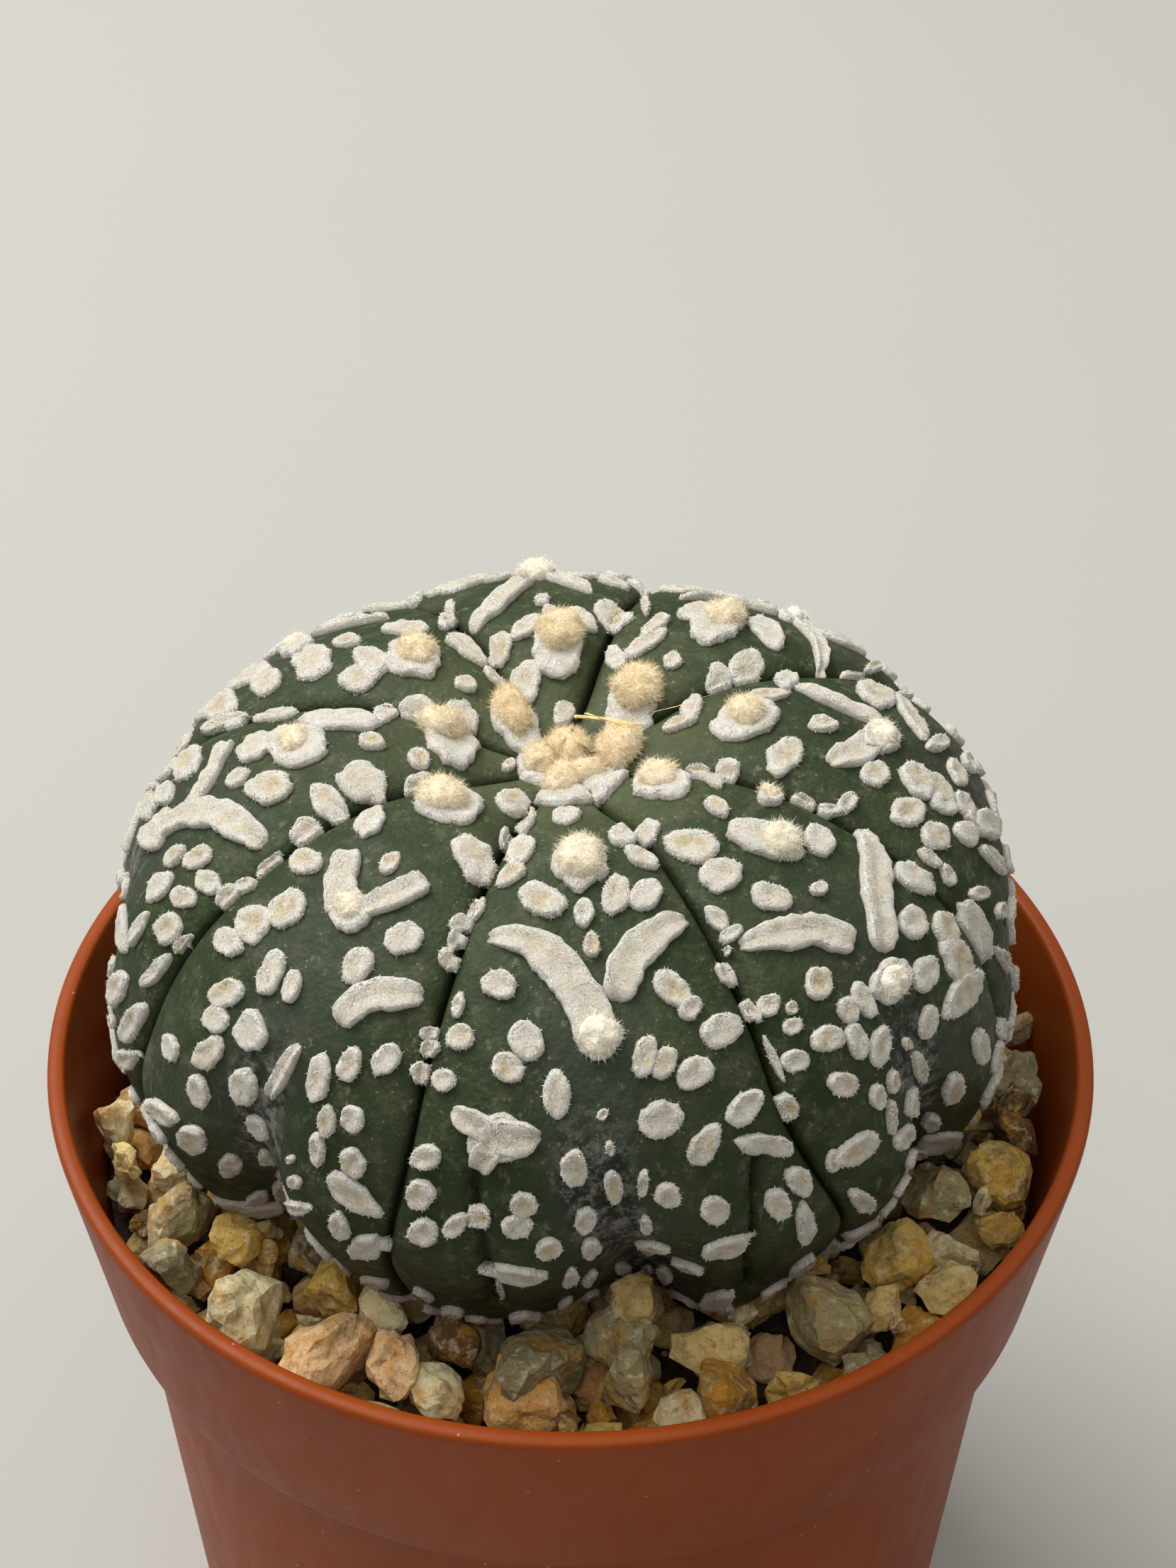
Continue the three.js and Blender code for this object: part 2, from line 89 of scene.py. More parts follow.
ahead = Vector((math.sin(yaw) * math.cos(pitch), math.cos(yaw) * math.cos(pitch),
                -math.sin(pitch)))
level_right = Vector((math.cos(yaw), -math.sin(yaw), 0))
level_down = ahead.cross(level_right)
right = math.cos(roll) * level_right + math.sin(roll) * level_down
down = -math.sin(roll) * level_right + math.cos(roll) * level_down


def in_scene(name, data):
    """A new object in the scene for a mesh, a camera or a lamp."""
    made = bpy.data.objects.new(name, data)
    bpy.context.scene.collection.objects.link(made)
    return made


camera_data = bpy.data.cameras.new("camera")
camera_data.lens = focal_pixels * camera_data.sensor_width / photo_height
camera_data.clip_start = 0.01
camera = in_scene("camera", camera_data)
turn_axes = Matrix((right, -down, -ahead)).transposed()
camera.matrix_world = Matrix.Translation(camera_place) @ turn_axes.to_4x4()
bpy.context.scene.camera = camera


def ray_through(x, y):
    """The direction from the camera through a pixel of the photograph."""
    across = (x - photo_width / 2) / focal_pixels
    below = (y - photo_height / 2) / focal_pixels
    return (ahead + right * across + down * below).normalized()


print("lens", round(camera_data.lens, 2), "mm")

# %% [markdown]
# ## Helpers for meshes
# A piece is made from lists of corners and faces. Its object stays at the origin, because
# its place is in its mesh. Most pieces here are rings of corners, one after another, so the
# faces between rings are made by one helper, and only the corners differ.

# %% Mesh helpers


def shaded(piece, smooth):
    """The piece, with all its faces shaded smooth or flat."""
    piece.data.polygons.foreach_set("use_smooth", [smooth] * len(piece.data.polygons))
    return piece


def piece_from(name, corners, faces):
    """A smooth mesh object at the origin."""
    mesh = bpy.data.meshes.new(name)
    mesh.from_pydata([tuple(c) for c in corners], [], [tuple(f) for f in faces])
    return shaded(in_scene(name, mesh), True)


def note(piece, name, values, kind="FLOAT"):
    """Writes one value or vector to every corner point of a piece."""
    layer = piece.data.attributes.new(name, kind, "POINT")
    field = "vector" if kind == "FLOAT_VECTOR" else "value"
    layer.data.foreach_set(field, np.asarray(values, float).ravel())


def circle(sides):
    """The directions of a ring's corners, in radians."""
    return [2 * math.pi * k / sides for k in range(sides)]


def round_pairs(first, sides):
    """Each corner of a ring with the next one round it, by their numbers."""
    return [(first + k, first + (k + 1) % sides) for k in range(sides)]


def walls(first, rings, sides):
    """The faces between a row of rings that starts at corner number first."""
    return [(a, b, b + sides, a + sides) for ring in range(rings - 1)
            for a, b in round_pairs(first + ring * sides, sides)]


def caps(first, rings, sides):
    """The two end faces of a row of rings."""
    ring = [first + j for j in range(sides)]
    return [ring[::-1], [j + (rings - 1) * sides for j in ring]]


def as_mesh(piece, name):
    """A plain mesh of what an object's modifiers make of it."""
    bpy.context.view_layer.update()
    depsgraph = bpy.context.evaluated_depsgraph_get()
    mesh = bpy.data.meshes.new_from_object(piece.evaluated_get(depsgraph), depsgraph=depsgraph)
    mesh.name = name
    return mesh


# %% [markdown]
# ## Helpers for nodes
# Node trees, for shapes and for finishes alike, are built by one short function, which makes
# a node, sets its properties and fills its inputs. A few more give names to the sums that
# every tree needs, so that a tree can be read like a formula.

# %% Node helpers


def fill(tree, made, sockets):
    """Gives each of a node's inputs a value, or a link from another node's output."""
    for socket, value in sockets.items():
        if isinstance(value, bpy.types.NodeSocket):
            tree.links.new(value, made.inputs[socket])
        else:
            made.inputs[socket].default_value = value


def node(tree, kind, sockets=None, **settings):
    """Adds a node, sets its properties and fills its inputs."""
    made = tree.nodes.new(kind)
    for name, value in settings.items():
        setattr(made, name, value)
    fill(tree, made, sockets or {})
    return made


def maths(tree, operation, a, b):
    """The result of one sum on two values."""
    return node(tree, "ShaderNodeMath", {0: a, 1: b}, operation=operation).outputs[0]


def times(tree, a, b):
    """One value times another."""
    return maths(tree, "MULTIPLY", a, b)


def vectors(tree, operation, a, b):
    """The result of one sum on two vectors."""
    return node(tree, "ShaderNodeVectorMath", {0: a, 1: b}, operation=operation).outputs[0]


def scaled(tree, vector, factor):
    """A vector times a number."""
    return node(tree, "ShaderNodeVectorMath", {0: vector, "Scale": factor},
                operation="SCALE").outputs[0]


def eased(tree, value, low, high, start=0.0, end=1.0):
    """A smooth step from start to end as a value goes from low to high."""
    return node(tree, "ShaderNodeMapRange", {
        "Value": value, "From Min": low, "From Max": high, "To Min": start, "To Max": end},
        interpolation_type="SMOOTHSTEP").outputs[0]


def height_of(tree, place):
    """The upright part of a place or a direction."""
    return node(tree, "ShaderNodeSeparateXYZ", {0: place}).outputs[2]


def shape_tree(name, inputs):
    """An empty Geometry Nodes tree with the named inputs after its geometry."""
    tree = bpy.data.node_groups.new(name, "GeometryNodeTree")
    for direction in ("INPUT", "OUTPUT"):
        tree.interface.new_socket("Geometry", in_out=direction,
                                  socket_type="NodeSocketGeometry")
    for label, kind in inputs:
        tree.interface.new_socket(label, in_out="INPUT", socket_type=f"NodeSocket{kind}")
    return tree, tree.nodes.new("NodeGroupInput").outputs


def handed_out(tree, geometry, material):
    """Ends a Geometry Nodes tree: the geometry takes its finish and goes to the output."""
    painted = node(tree, "GeometryNodeSetMaterial", {"Geometry": geometry, "Material": material})
    node(tree, "NodeGroupOutput", {0: painted.outputs[0]})
    return tree


def grown(name, carrier, tree, values):
    """Runs a Geometry Nodes tree on an object and returns the result as a plain mesh object."""
    grower = carrier.modifiers.new("grow", "NODES")
    grower.node_group = tree
    for item in tree.interface.items_tree:
        if item.in_out == "INPUT" and item.name in values:
            grower[item.identifier] = values[item.name]
    made = in_scene(name, as_mesh(carrier, name))
    bpy.data.objects.remove(carrier)
    print(name, len(made.data.polygons), "faces")
    return shaded(made, True)


# %% [markdown]
# ## The skin of the cactus
# The body is a turned shape, broken into eight ribs by narrow creases. Lower down a hollow
# follows each areole line, the ribs wander sideways, and the body draws in under itself.
# The CAD solid is made by the same main rules, with few faces. Here they are followed by a
# fine net of points, so that the creases can have rolled lips and the front ribs their late
# creases. A rule suits a grown thing better than sculpting: each part of it can be set in
# millimetres.

# %% Meridian and ribs
# Radius and height from the middle of the crown down, with height 0 at the pot's rim.
meridian = [(0, 26.3), (3, 26.9), (6.5, 28.2), (10.5, 29.5), (15, 29.9), (20, 28.9), (25, 26.6),
            (29.6, 23.4), (33.1, 18.8), (35.2, 12.6), (36.4, 6), (36.2, 0), (34.6, -4), (31, -7),
            (26.5, -9.2)]
plant_middle = np.array([-1, 0, pot_height / MM])
meridian_steps = 600

# Direction of the areole line, crease after it, how far both wander, depth of the hollow,
# and the distance of each areole from the middle of the crown.
ribs = [
    (274, 299, (11, 14), 4.8, (4.6, 16, 31)),
    (320, 341, (10, 8), 5.2, (3.8, 9.6, 20.2, 34.5)),
    (366, 389, (4, 2), 5.0, (4.4, 13.8, 25, 36)),
    (407, 434, (0, 0), 5.0, (8, 19, 29)),
    (455, 478, (0, 0), 5.0, (1.9, 11.4, 27)),
    (504, 524, (0, -2), 5.0, (6.4, 15.3, 29)),
    (545, 568, (-6, -5), 5.0, (9.4, 20.8, 33.6)),
    (591, 612, (-4, -5), 7.2, (3.6, 13, 24.5, 39)),
]
lines, creases, hollows = (np.array([rib[k] for rib in ribs], float) for k in (0, 1, 3))
line_wander, crease_wander = (np.array([rib[2][k] for rib in ribs], float) for k in (0, 1))

# Creases that came later, where the front rib folded as it drew in: (distance from the
# crown's middle, direction) along each.
late_creases = [[(37.5, 259.8), (41.5, 260.4), (47.4, 261.2), (56, 260.6)],
                [(38.5, 295.0), (41.0, 292.3), (46.2, 288.5), (49.3, 286.2), (56, 284.8)]]


def smoothstep(value, low, high):
    """A smooth step from 0 to 1 as a value goes from low to high."""
    t = np.clip((value - low) / (high - low), 0, 1)
    return t * t * (3 - 2 * t)


def meridian_points(count):
    """Points along the smooth curve through the meridian's corners."""
    corners = np.array(meridian, float)
    last = len(corners) - 1
    points = []
    for t in np.linspace(0, last, count + 1):
        k = min(int(t), last - 1)
        w = t - k
        p1, p2 = corners[k], corners[k + 1]
        p0, p3 = corners[max(k - 1, 0)], corners[min(k + 2, last)]
        v1, v2 = (p2 - p0) / 2, (p3 - p1) / 2
        points.append((2 * p1 - 2 * p2 + v1 + v2) * w ** 3
                      + (3 * p2 - 3 * p1 - 2 * v1 - v2) * w ** 2 + v1 * w + p1)
    return np.array(points)


run = meridian_points(meridian_steps)
steps = np.diff(run, axis=0)
lengths = np.hypot(*steps.T)
arcs = np.concatenate([[0], np.cumsum(lengths)])
outward = np.stack([-steps[:, 1], steps[:, 0]], axis=1) / lengths[:, None]
outward = np.vstack([outward, outward[-1]])
meridian_length = arcs[-1]
print("meridian", round(meridian_length, 1), "mm")

# %% [markdown]
# What shapes the skin is a depth and a width in millimetres, each with the stretch of the
# meridian over which it fades in. A crease has a wide rolled lip and a thin slit in it.

# %% Skin rules
lip_depth, lip_width, slit_depth, slit_width = 0.5, 0.8, 1.0, 0.18
late_depth, late_lip_width, late_slit_width = 0.8, 0.9, 0.25
late_soft_start, late_fade = 1.5, 1.2
valley_depth, valley_width = 2.0, 2.8
lobe_rise, lobe_direction, lobe_spread = 1.6, 283, 6
hollow_width = 5.2
front_tuck, front_direction = 5.9, 265
shoulder_rise, shoulder_direction = 1.7, 20
print("creases", lip_depth + slit_depth, "mm deep, late ones", 2 * late_depth, "mm")


def radius_at(arc):
    """The turned shape's radius in millimetres at a distance from the crown's middle."""
    return np.interp(arc, arcs, run[:, 0])


def crease_before(k):
    """The direction of the crease on the near side of rib number k."""
    return creases[k - 1] - (360 if k == 0 else 0)


def across_rib(degrees):
    """Where directions fall on their ribs: u is 0 on the areole line and 1 in a crease."""
    first = crease_before(0)
    turned = first + np.mod(degrees - first, 360)
    index = np.searchsorted(creases, turned)
    before = np.where(index > 0, creases[index - 1], first)
    left = turned < lines[index]
    half = np.where(left, lines[index] - before, creases[index] - lines[index])
    u = (turned - lines[index]) / half
    beside = np.where(left, crease_wander[index - 1], crease_wander[index])
    wander = line_wander[index] + (beside - line_wander[index]) * np.abs(u)
    return index, u, np.radians(half), wander


def facing(degrees, side, narrowing):
    """A share that is 1 towards one side and falls to 0 at right angles to it."""
    return np.maximum(0, np.cos(np.radians(degrees - side))) ** narrowing


def to_late_crease(arc, degrees, r):
    """Distance in millimetres to the nearest of the late creases, which start and end softly."""
    nearest = np.full(np.shape(arc), 99.0)
    for path in late_creases:
        path_arcs, path_degrees = np.array(path, float).T
        sideways = np.abs(np.mod(degrees, 360) - np.interp(arc, path_arcs, path_degrees))
        beyond_end = (np.maximum(path_arcs[0] + late_soft_start - arc, 0)
                      + np.maximum(arc - path_arcs[-1], 0))
        nearest = np.minimum(nearest, np.radians(sideways) * r + late_fade * beyond_end)
    return nearest


def skin_place(arc, degrees, lift=0.0, creased=True):
    """Points on the skin in metres. arc is measured from the crown, lift is above the skin."""
    arc, degrees, lift = np.broadcast_arrays(np.asarray(arc, float), degrees, lift)
    r, z = (np.interp(arc, arcs, run[:, k]) for k in (0, 1))
    out_r, out_z = (np.interp(arc, arcs, outward[:, k]) for k in (0, 1))
    index, u, half, wander = across_rib(degrees)
    from_line, to_crease = u * half * r, (1 - np.abs(u)) * half * r
    near_crown = smoothstep(arc, 1, 9)
    depth = near_crown * (0.4 + 0.4 * smoothstep(z, 6, 20)) * np.abs(u) ** 3
    if creased:
        depth = depth + near_crown * (lip_depth * np.exp(-to_crease / lip_width)
                                      + slit_depth * np.exp(-to_crease / slit_width))
        to_late = to_late_crease(arc, degrees, r)
        depth = (depth + late_depth * np.exp(-to_late / late_lip_width)
                 + late_depth * np.exp(-to_late / late_slit_width))
    lobe = lobe_rise * np.exp(-((np.mod(degrees, 360) - lobe_direction) / lobe_spread) ** 2)
    depth = depth - lobe * smoothstep(-z, -9, 1)
    valley = smoothstep(-z, -22, -7) * smoothstep(arc, 30, 39) * smoothstep(z, -5, 4)
    depth = depth + valley_depth * valley * np.exp(-(from_line / valley_width) ** 2)
    lifted = lift - depth
    growing = smoothstep(-z, -23, 6) ** 1.5 * smoothstep(arc, 20, 30)
    drawn_in = hollows[index] * growing * np.exp(-(from_line / hollow_width) ** 2)
    drawn_in = drawn_in + (front_tuck * facing(degrees, front_direction, 1.4)
                           * smoothstep(-z, -13, 3.3))
    drawn_in = drawn_in - (shoulder_rise * facing(degrees, shoulder_direction, 4)
                           * smoothstep(z, 10, 19) * smoothstep(arc, 18, 28))
    radius = r + lifted * out_r - drawn_in
    angle = np.radians(degrees + wander * smoothstep(-z, -22, 4))
    place = np.stack([radius * np.cos(angle), radius * np.sin(angle), z + lifted * out_z],
                     axis=-1)
    return (place + plant_middle) * MM


# %% Skin net
# The rows follow the meridian. The columns crowd together towards each crease, and there
# are more of them on the front rib, for its late creases.
skin_rows, first_row = 212, 0.35
# For each side of an areole line: how many columns, and how strongly they crowd.
plain_side, front_side = (24, 1.7), (45, 1.35)


def skin_columns():
    """The directions of the net's columns, rib by rib."""
    made = []
    for k in range(len(ribs)):
        before = crease_before(k)
        count, crowding = front_side if k == 0 else plain_side
        to_line = np.linspace(0, 1, count, endpoint=False)
        made.extend(before + to_line ** crowding * (lines[k] - before))
        made.extend(creases[k] - (1 - to_line) ** crowding * (creases[k] - lines[k]))
    return np.array(made)


columns = skin_columns()
rows = np.linspace(first_row, meridian_length, skin_rows)
net_arc, net_degrees = np.meshgrid(rows, columns, indexing="ij")
net = skin_place(net_arc, net_degrees)
widest = math.radians(np.diff(columns).max()) * run[:, 0].max()
print("net", net.shape, "columns at most", round(widest, 2), "mm apart")

# %% [markdown]
# The net is joined into one closed skin: a point at the crown, the rows of the net, and
# below the grit a plain taper down to the root's tip. Each point keeps what the finish will
# need: its distance from the crown, from its areole line and from its crease.

# %% Skin mesh
# Radius and height of the rings under the grit, in millimetres.
root_rings = [(12, -11.4), (7, -14.5), (4, -25)]
root_tip = -36


def about_middle(x, y, z):
    """A place in metres from millimetres about the plant's middle."""
    return (plant_middle + (x, y, z)) * MM


def closed_skin(name, net):
    """A closed mesh: the crown's middle, the net, the root's rings and the root's tip."""
    corners = [about_middle(0, 0, meridian[0][1]), *net.reshape(-1, 3)]
    corners.extend(about_middle(radius * math.cos(t), radius * math.sin(t), height)
                   for radius, height in root_rings for t in map(math.radians, columns))
    corners.append(about_middle(0, 0, root_tip))
    width, last = len(columns), len(corners) - 1
    faces = [(0, a, b) for a, b in round_pairs(1, width)]
    faces += [(a, d, c, b) for a, b, c, d in walls(1, skin_rows + len(root_rings), width)]
    faces += [(last, b, a) for a, b in round_pairs(last - width, width)]
    return piece_from(name, corners, faces)


cactus_skin = closed_skin("cactus_skin", net)
_, across, half_angle, _ = across_rib(net_degrees)
net_radius = radius_at(net_arc)
beyond = len(cactus_skin.data.vertices) - net_arc.size - 1


def over_skin(values):
    """One value for each corner of the closed skin, from values on the net."""
    return np.concatenate([[values.flat[0]], values.ravel(), np.full(beyond, values.flat[-1])])


crease_gaps = np.minimum((1 - np.abs(across)) * half_angle * net_radius,
                         to_late_crease(net_arc, net_degrees, net_radius))
for label, measure in (("from_crown", net_arc), ("to_crease", crease_gaps),
                       ("from_line", np.abs(across) * half_angle * net_radius)):
    note(cactus_skin, label, over_skin(measure))
cactus_skin.data.validate()
print("skin", len(cactus_skin.data.polygons), "faces")

# %% [markdown]
# ## Reading marks off the photograph
# A fleck's middle, length, width and turn are read in the photograph's pixels.
# The ray through its middle meets the skin, and the rays through its ends meet the plane
# that touches the skin there. That gives the fleck's true length and width on the plant.
# The creases are left out of the skin for this, so that no mark tips into a groove.

# %% Mark placing
felt_bed = -0.25
even_net = skin_place(net_arc, net_degrees, felt_bed, creased=False)
even_skin = closed_skin("even_skin", even_net)
even_tree = BVHTree.FromObject(even_skin, bpy.context.evaluated_depsgraph_get())
largest_half, smallest_half = 3.2 * MM, 0.2 * MM
# Past this slope a ray only grazes the skin, and a mark there would be drawn out too far, so
# its plane leans back towards the camera.
grazing, leans_back = -0.16, 0.3
plant_pixel_x, plant_pixel_y = 800, 1330
pulls, pull_step = 12, 0.012


def on_plane(x, y, place, normal):
    """Where the ray through a pixel meets the plane that touches the skin at a place."""
    ray = ray_through(x, y)
    slope = min(ray.dot(normal), grazing)
    return camera_place + ray * ((place - camera_place).dot(normal) / slope)


def skin_hit(x, y):
    """The skin's place and outward direction at a pixel, or at the skin's nearest edge to it."""
    for pull in range(pulls):
        share = 1 - pull_step * pull
        ray = ray_through(plant_pixel_x + (x - plant_pixel_x) * share,
                          plant_pixel_y + (y - plant_pixel_y) * share)
        place, normal, _, _ = even_tree.ray_cast(camera_place, ray)
        if place is not None:
            return place, normal
    raise ValueError(f"no skin near pixel {x}, {y}")


def mark(x, y, long, wide, turn):
    """A mark's middle, outward direction, main axis and its two half sizes."""
    place, normal = skin_hit(x, y)
    if ray_through(x, y).dot(normal) > grazing:
        normal = (normal - leans_back * ray_through(x, y)).normalized()
    turned = math.radians(turn)
    ends = []
    for length, angle in ((long, turned), (wide, turned + math.pi / 2)):
        step_x, step_y = math.cos(angle) * length / 2, -math.sin(angle) * length / 2
        one = on_plane(x + step_x, y + step_y, place, normal)
        other = on_plane(x - step_x, y - step_y, place, normal)
        ends.append((one - other) / 2)
    side = normal.orthogonal().normalized()
    frame_axes = np.array([side, normal.cross(side)])
    spread = frame_axes @ np.array(ends).T
    axes, halves, _ = np.linalg.svd(spread)
    along = Vector(axes[:, 0] @ frame_axes)
    halves = np.clip(halves, smallest_half, largest_half)
    return place, normal, along, halves[0], halves[1]


height_seen = skin_hit(plant_pixel_x, plant_pixel_y)[0].z
print("the plant's middle pixel shows a place", round(height_seen / MM, 1), "mm up")

# %% [markdown]
# ## The white flecks
# Each fleck is a pad of felted hairs, about as thick as card, with a wavy edge and a slightly
# sunken middle. These are the flecks on the side that the photograph shows, region by region:
# x, y, length, width in pixels, and turn in degrees.

# %% Flecks low on the left
flecks_low_left = [
    (704, 1607, 84, 66, 10), (223, 1372, 55, 16, 55), (192, 1442, 62, 22, 65),
    (175, 1495, 26, 26, 0), (167, 1440, 20, 10, 90), (247, 1475, 40, 20, 100),
    (325, 1402, 48, 36, 30), (310, 1437, 36, 34, 90), (300, 1485, 46, 36, 60),
    (287, 1537, 52, 26, 105), (359, 1456, 60, 38, 100), (351, 1527, 54, 36, 115),
    (452, 1522, 70, 28, 85), (465, 1577, 46, 24, 90), (497, 1502, 52, 28, 70),
    (545, 1495, 52, 36, 65), (499, 1575, 38, 30, 100), (607, 1458, 28, 20, 10),
    (607, 1480, 30, 26, 0), (595, 1513, 32, 30, 0), (628, 1523, 34, 34, 60),
    (506, 1366, 54, 38, 60), (649, 1420, 40, 18, 75), (652, 1464, 36, 36, 0),
    (707, 1392, 48, 40, 0), (744, 1470, 54, 44, 100), (717, 1506, 46, 38, 160),
    (785, 1543, 68, 38, 85), (808, 1643, 46, 38, 90), (601, 1632, 46, 34, 5),
    (594, 1683, 44, 42, 90), (600, 1734, 38, 36, 30), (646, 1726, 38, 28, 20),
    (677, 1719, 32, 26, 90), (739, 1695, 34, 32, 0), (730, 1727, 42, 30, 5),
    (502, 1636, 40, 32, 120), (452, 1620, 52, 20, 100), (500, 1682, 90, 34, -40),
    (482, 1725, 42, 22, 110), (520, 1757, 54, 28, -5), (530, 1803, 44, 24, -15),
    (369, 1585, 44, 22, -45), (380, 1626, 34, 28, 90), (326, 1639, 32, 26, -20),
    (275, 1602, 40, 26, -45), (232, 1565, 52, 20, -35), (416, 1632, 10, 10, 0),
    (423, 1664, 20, 14, 120), (400, 1672, 30, 26, 0), (365, 1684, 28, 14, 10),
    (325, 1698, 60, 16, -5), (355, 1714, 58, 10, 0), (422, 1700, 36, 14, -15),
    (600, 1820, 34, 18, -50), (640, 1842, 30, 8, -10), (733, 1795, 86, 20, 0),
    (738, 1852, 42, 36, 0), (772, 1756, 36, 26, 20), (700, 1818, 36, 10, 110),
    (670, 1859, 30, 12, 0), (822, 1717, 36, 26, 60), (795, 1830, 24, 12, 60),
    (802, 1797, 26, 14, 60), (828, 1797, 34, 18, 80), (830, 1820, 22, 16, 0),
    (830, 1756, 28, 22, 70),
]
print(len(flecks_low_left), "flecks low on the left")

# %% Flecks low on the right
flecks_low_right = [
    (947, 1398, 60, 38, -45), (972, 1425, 34, 28, 30), (1022, 1374, 40, 26, -50),
    (1015, 1455, 58, 52, 20), (908, 1492, 62, 34, 75), (935, 1500, 50, 32, 70),
    (977, 1515, 52, 44, 30), (930, 1580, 60, 54, 40), (1048, 1560, 64, 38, 50),
    (990, 1613, 66, 38, 55), (1077, 1614, 80, 32, -5), (1090, 1495, 68, 14, -65),
    (1112, 1561, 40, 24, 110), (1060, 1427, 36, 16, -55), (1084, 1420, 36, 32, 0),
    (1114, 1424, 20, 20, 0), (1115, 1448, 28, 24, 20), (1118, 1497, 38, 32, 20),
    (1152, 1388, 44, 36, 90), (1164, 1467, 44, 36, 0), (1185, 1527, 38, 36, 0),
    (1192, 1425, 36, 28, 100), (1204, 1470, 52, 28, 105), (1214, 1410, 58, 26, 115),
    (1237, 1477, 58, 28, 80), (1232, 1543, 34, 18, 90), (1252, 1522, 36, 12, 85),
    (1250, 1575, 50, 8, 90), (1300, 1375, 50, 34, 80), (1303, 1442, 50, 22, 75),
    (1355, 1400, 105, 36, 50), (1375, 1473, 48, 18, 95), (1407, 1452, 36, 28, 0),
    (1414, 1492, 40, 16, 80), (1341, 1531, 38, 22, 60), (1311, 1577, 26, 22, 0),
    (1292, 1505, 44, 20, 100), (1272, 1470, 14, 8, 90), (1278, 1553, 46, 22, 80),
    (1270, 1602, 34, 20, 60), (1294, 1620, 22, 12, 10), (1340, 1615, 60, 20, 20),
    (1203, 1617, 76, 32, 35), (1172, 1635, 36, 18, 80), (1123, 1664, 42, 32, 120),
    (1094, 1697, 42, 34, 90), (1132, 1724, 54, 26, 88), (1127, 1778, 46, 30, 60),
    (1171, 1757, 30, 20, 40), (1212, 1690, 44, 26, -40), (1218, 1735, 50, 20, 25),
    (1006, 1703, 42, 36, 90), (1025, 1755, 80, 22, 12), (940, 1682, 38, 36, 0),
    (866, 1669, 46, 26, 105), (907, 1664, 34, 16, 85), (860, 1617, 20, 12, 100),
    (850, 1570, 18, 12, 45), (913, 1722, 28, 14, 110), (915, 1755, 28, 12, 100),
    (874, 1783, 24, 16, 0), (912, 1787, 20, 14, 0), (942, 1793, 26, 14, -50),
    (1013, 1828, 48, 20, 15), (1028, 1845, 20, 10, 0), (1095, 1822, 38, 14, 25),
    (1205, 1765, 24, 10, 20),
]
print(len(flecks_low_right), "flecks low on the right")

# %% Flecks high on the left
flecks_high_left = [
    (472, 873, 50, 12, 27), (443, 938, 58, 50, 20), (490, 912, 40, 14, 8), (525, 938, 50, 38, -20),
    (505, 962, 46, 36, 20), (573, 893, 62, 16, 0), (355, 958, 70, 18, 25), (380, 967, 42, 26, 30),
    (315, 1000, 55, 24, 40), (318, 1023, 62, 14, 20), (392, 1013, 62, 16, 10),
    (477, 1021, 110, 24, 0), (545, 1008, 38, 24, 20), (588, 1005, 52, 46, -40),
    (253, 1058, 50, 14, 50), (218, 1090, 30, 12, 45), (268, 1078, 50, 28, 50),
    (362, 1062, 52, 32, 35), (525, 1053, 40, 20, -5), (590, 1075, 32, 24, -30),
    (340, 1103, 36, 16, 40), (385, 1117, 66, 42, 15), (463, 1133, 60, 42, -45),
    (510, 1108, 72, 50, -10), (590, 1112, 40, 40, 0), (238, 1125, 34, 20, 70),
    (215, 1140, 44, 18, 75), (235, 1158, 34, 16, 60), (195, 1170, 70, 14, 80),
    (283, 1213, 42, 26, 30), (252, 1213, 40, 16, 50), (230, 1253, 55, 24, 55),
    (265, 1268, 34, 32, 0), (298, 1248, 34, 32, 0), (322, 1265, 38, 22, 45),
    (350, 1252, 30, 22, 25), (380, 1223, 42, 14, 45), (435, 1220, 46, 36, 0),
    (525, 1165, 52, 30, 40), (433, 1178, 44, 36, 40), (552, 1222, 34, 20, 50),
    (243, 1310, 44, 34, 55), (408, 1285, 58, 40, 55), (362, 1307, 56, 44, 60),
    (328, 1332, 40, 34, 130), (262, 1332, 32, 16, 55), (390, 1370, 66, 30, 75),
    (378, 1385, 40, 22, 85), (415, 1393, 48, 26, 75), (572, 1325, 50, 44, 30),
    (650, 1305, 32, 26, 0), (643, 1328, 36, 24, 70), (632, 1355, 36, 30, 110),
    (172, 1310, 70, 10, 92), (203, 1310, 50, 10, 65), (172, 1395, 50, 20, 75),
    (672, 1283, 36, 18, 50), (715, 1188, 30, 16, -60),
]
print(len(flecks_high_left), "flecks high on the left")

# %% Flecks round the far side of the crown
flecks_far = [
    (575, 850, 40, 8, 10), (622, 833, 40, 12, 20), (655, 833, 60, 16, 20), (700, 823, 40, 14, 15),
    (633, 875, 34, 22, 45), (765, 853, 22, 14, 0), (815, 808, 44, 12, 5), (855, 803, 40, 6, 0),
    (866, 828, 44, 18, -15), (903, 820, 40, 10, -35), (865, 872, 70, 30, -35),
    (911, 860, 24, 10, 100), (742, 890, 48, 24, 40), (822, 880, 46, 22, -35), (775, 870, 20, 16, 0),
    (705, 920, 55, 32, 65), (660, 920, 74, 22, -32), (697, 958, 40, 14, -40),
    (742, 965, 62, 44, 80), (868, 932, 36, 26, -60), (925, 888, 52, 16, 35), (912, 912, 66, 18, 32),
    (949, 938, 30, 22, 15), (985, 868, 60, 18, 5), (1080, 895, 58, 28, -40),
    (1015, 965, 52, 36, 110), (1052, 945, 50, 42, 60), (978, 1003, 44, 26, 60),
    (962, 1025, 54, 14, 22), (795, 1010, 40, 26, 75), (650, 1015, 56, 36, -60),
    (655, 970, 30, 18, -20), (1080, 987, 60, 14, 5), (985, 1090, 36, 18, 0),
    (1005, 1105, 36, 14, -35), (1027, 1092, 40, 32, 40), (715, 1085, 20, 14, 0),
]
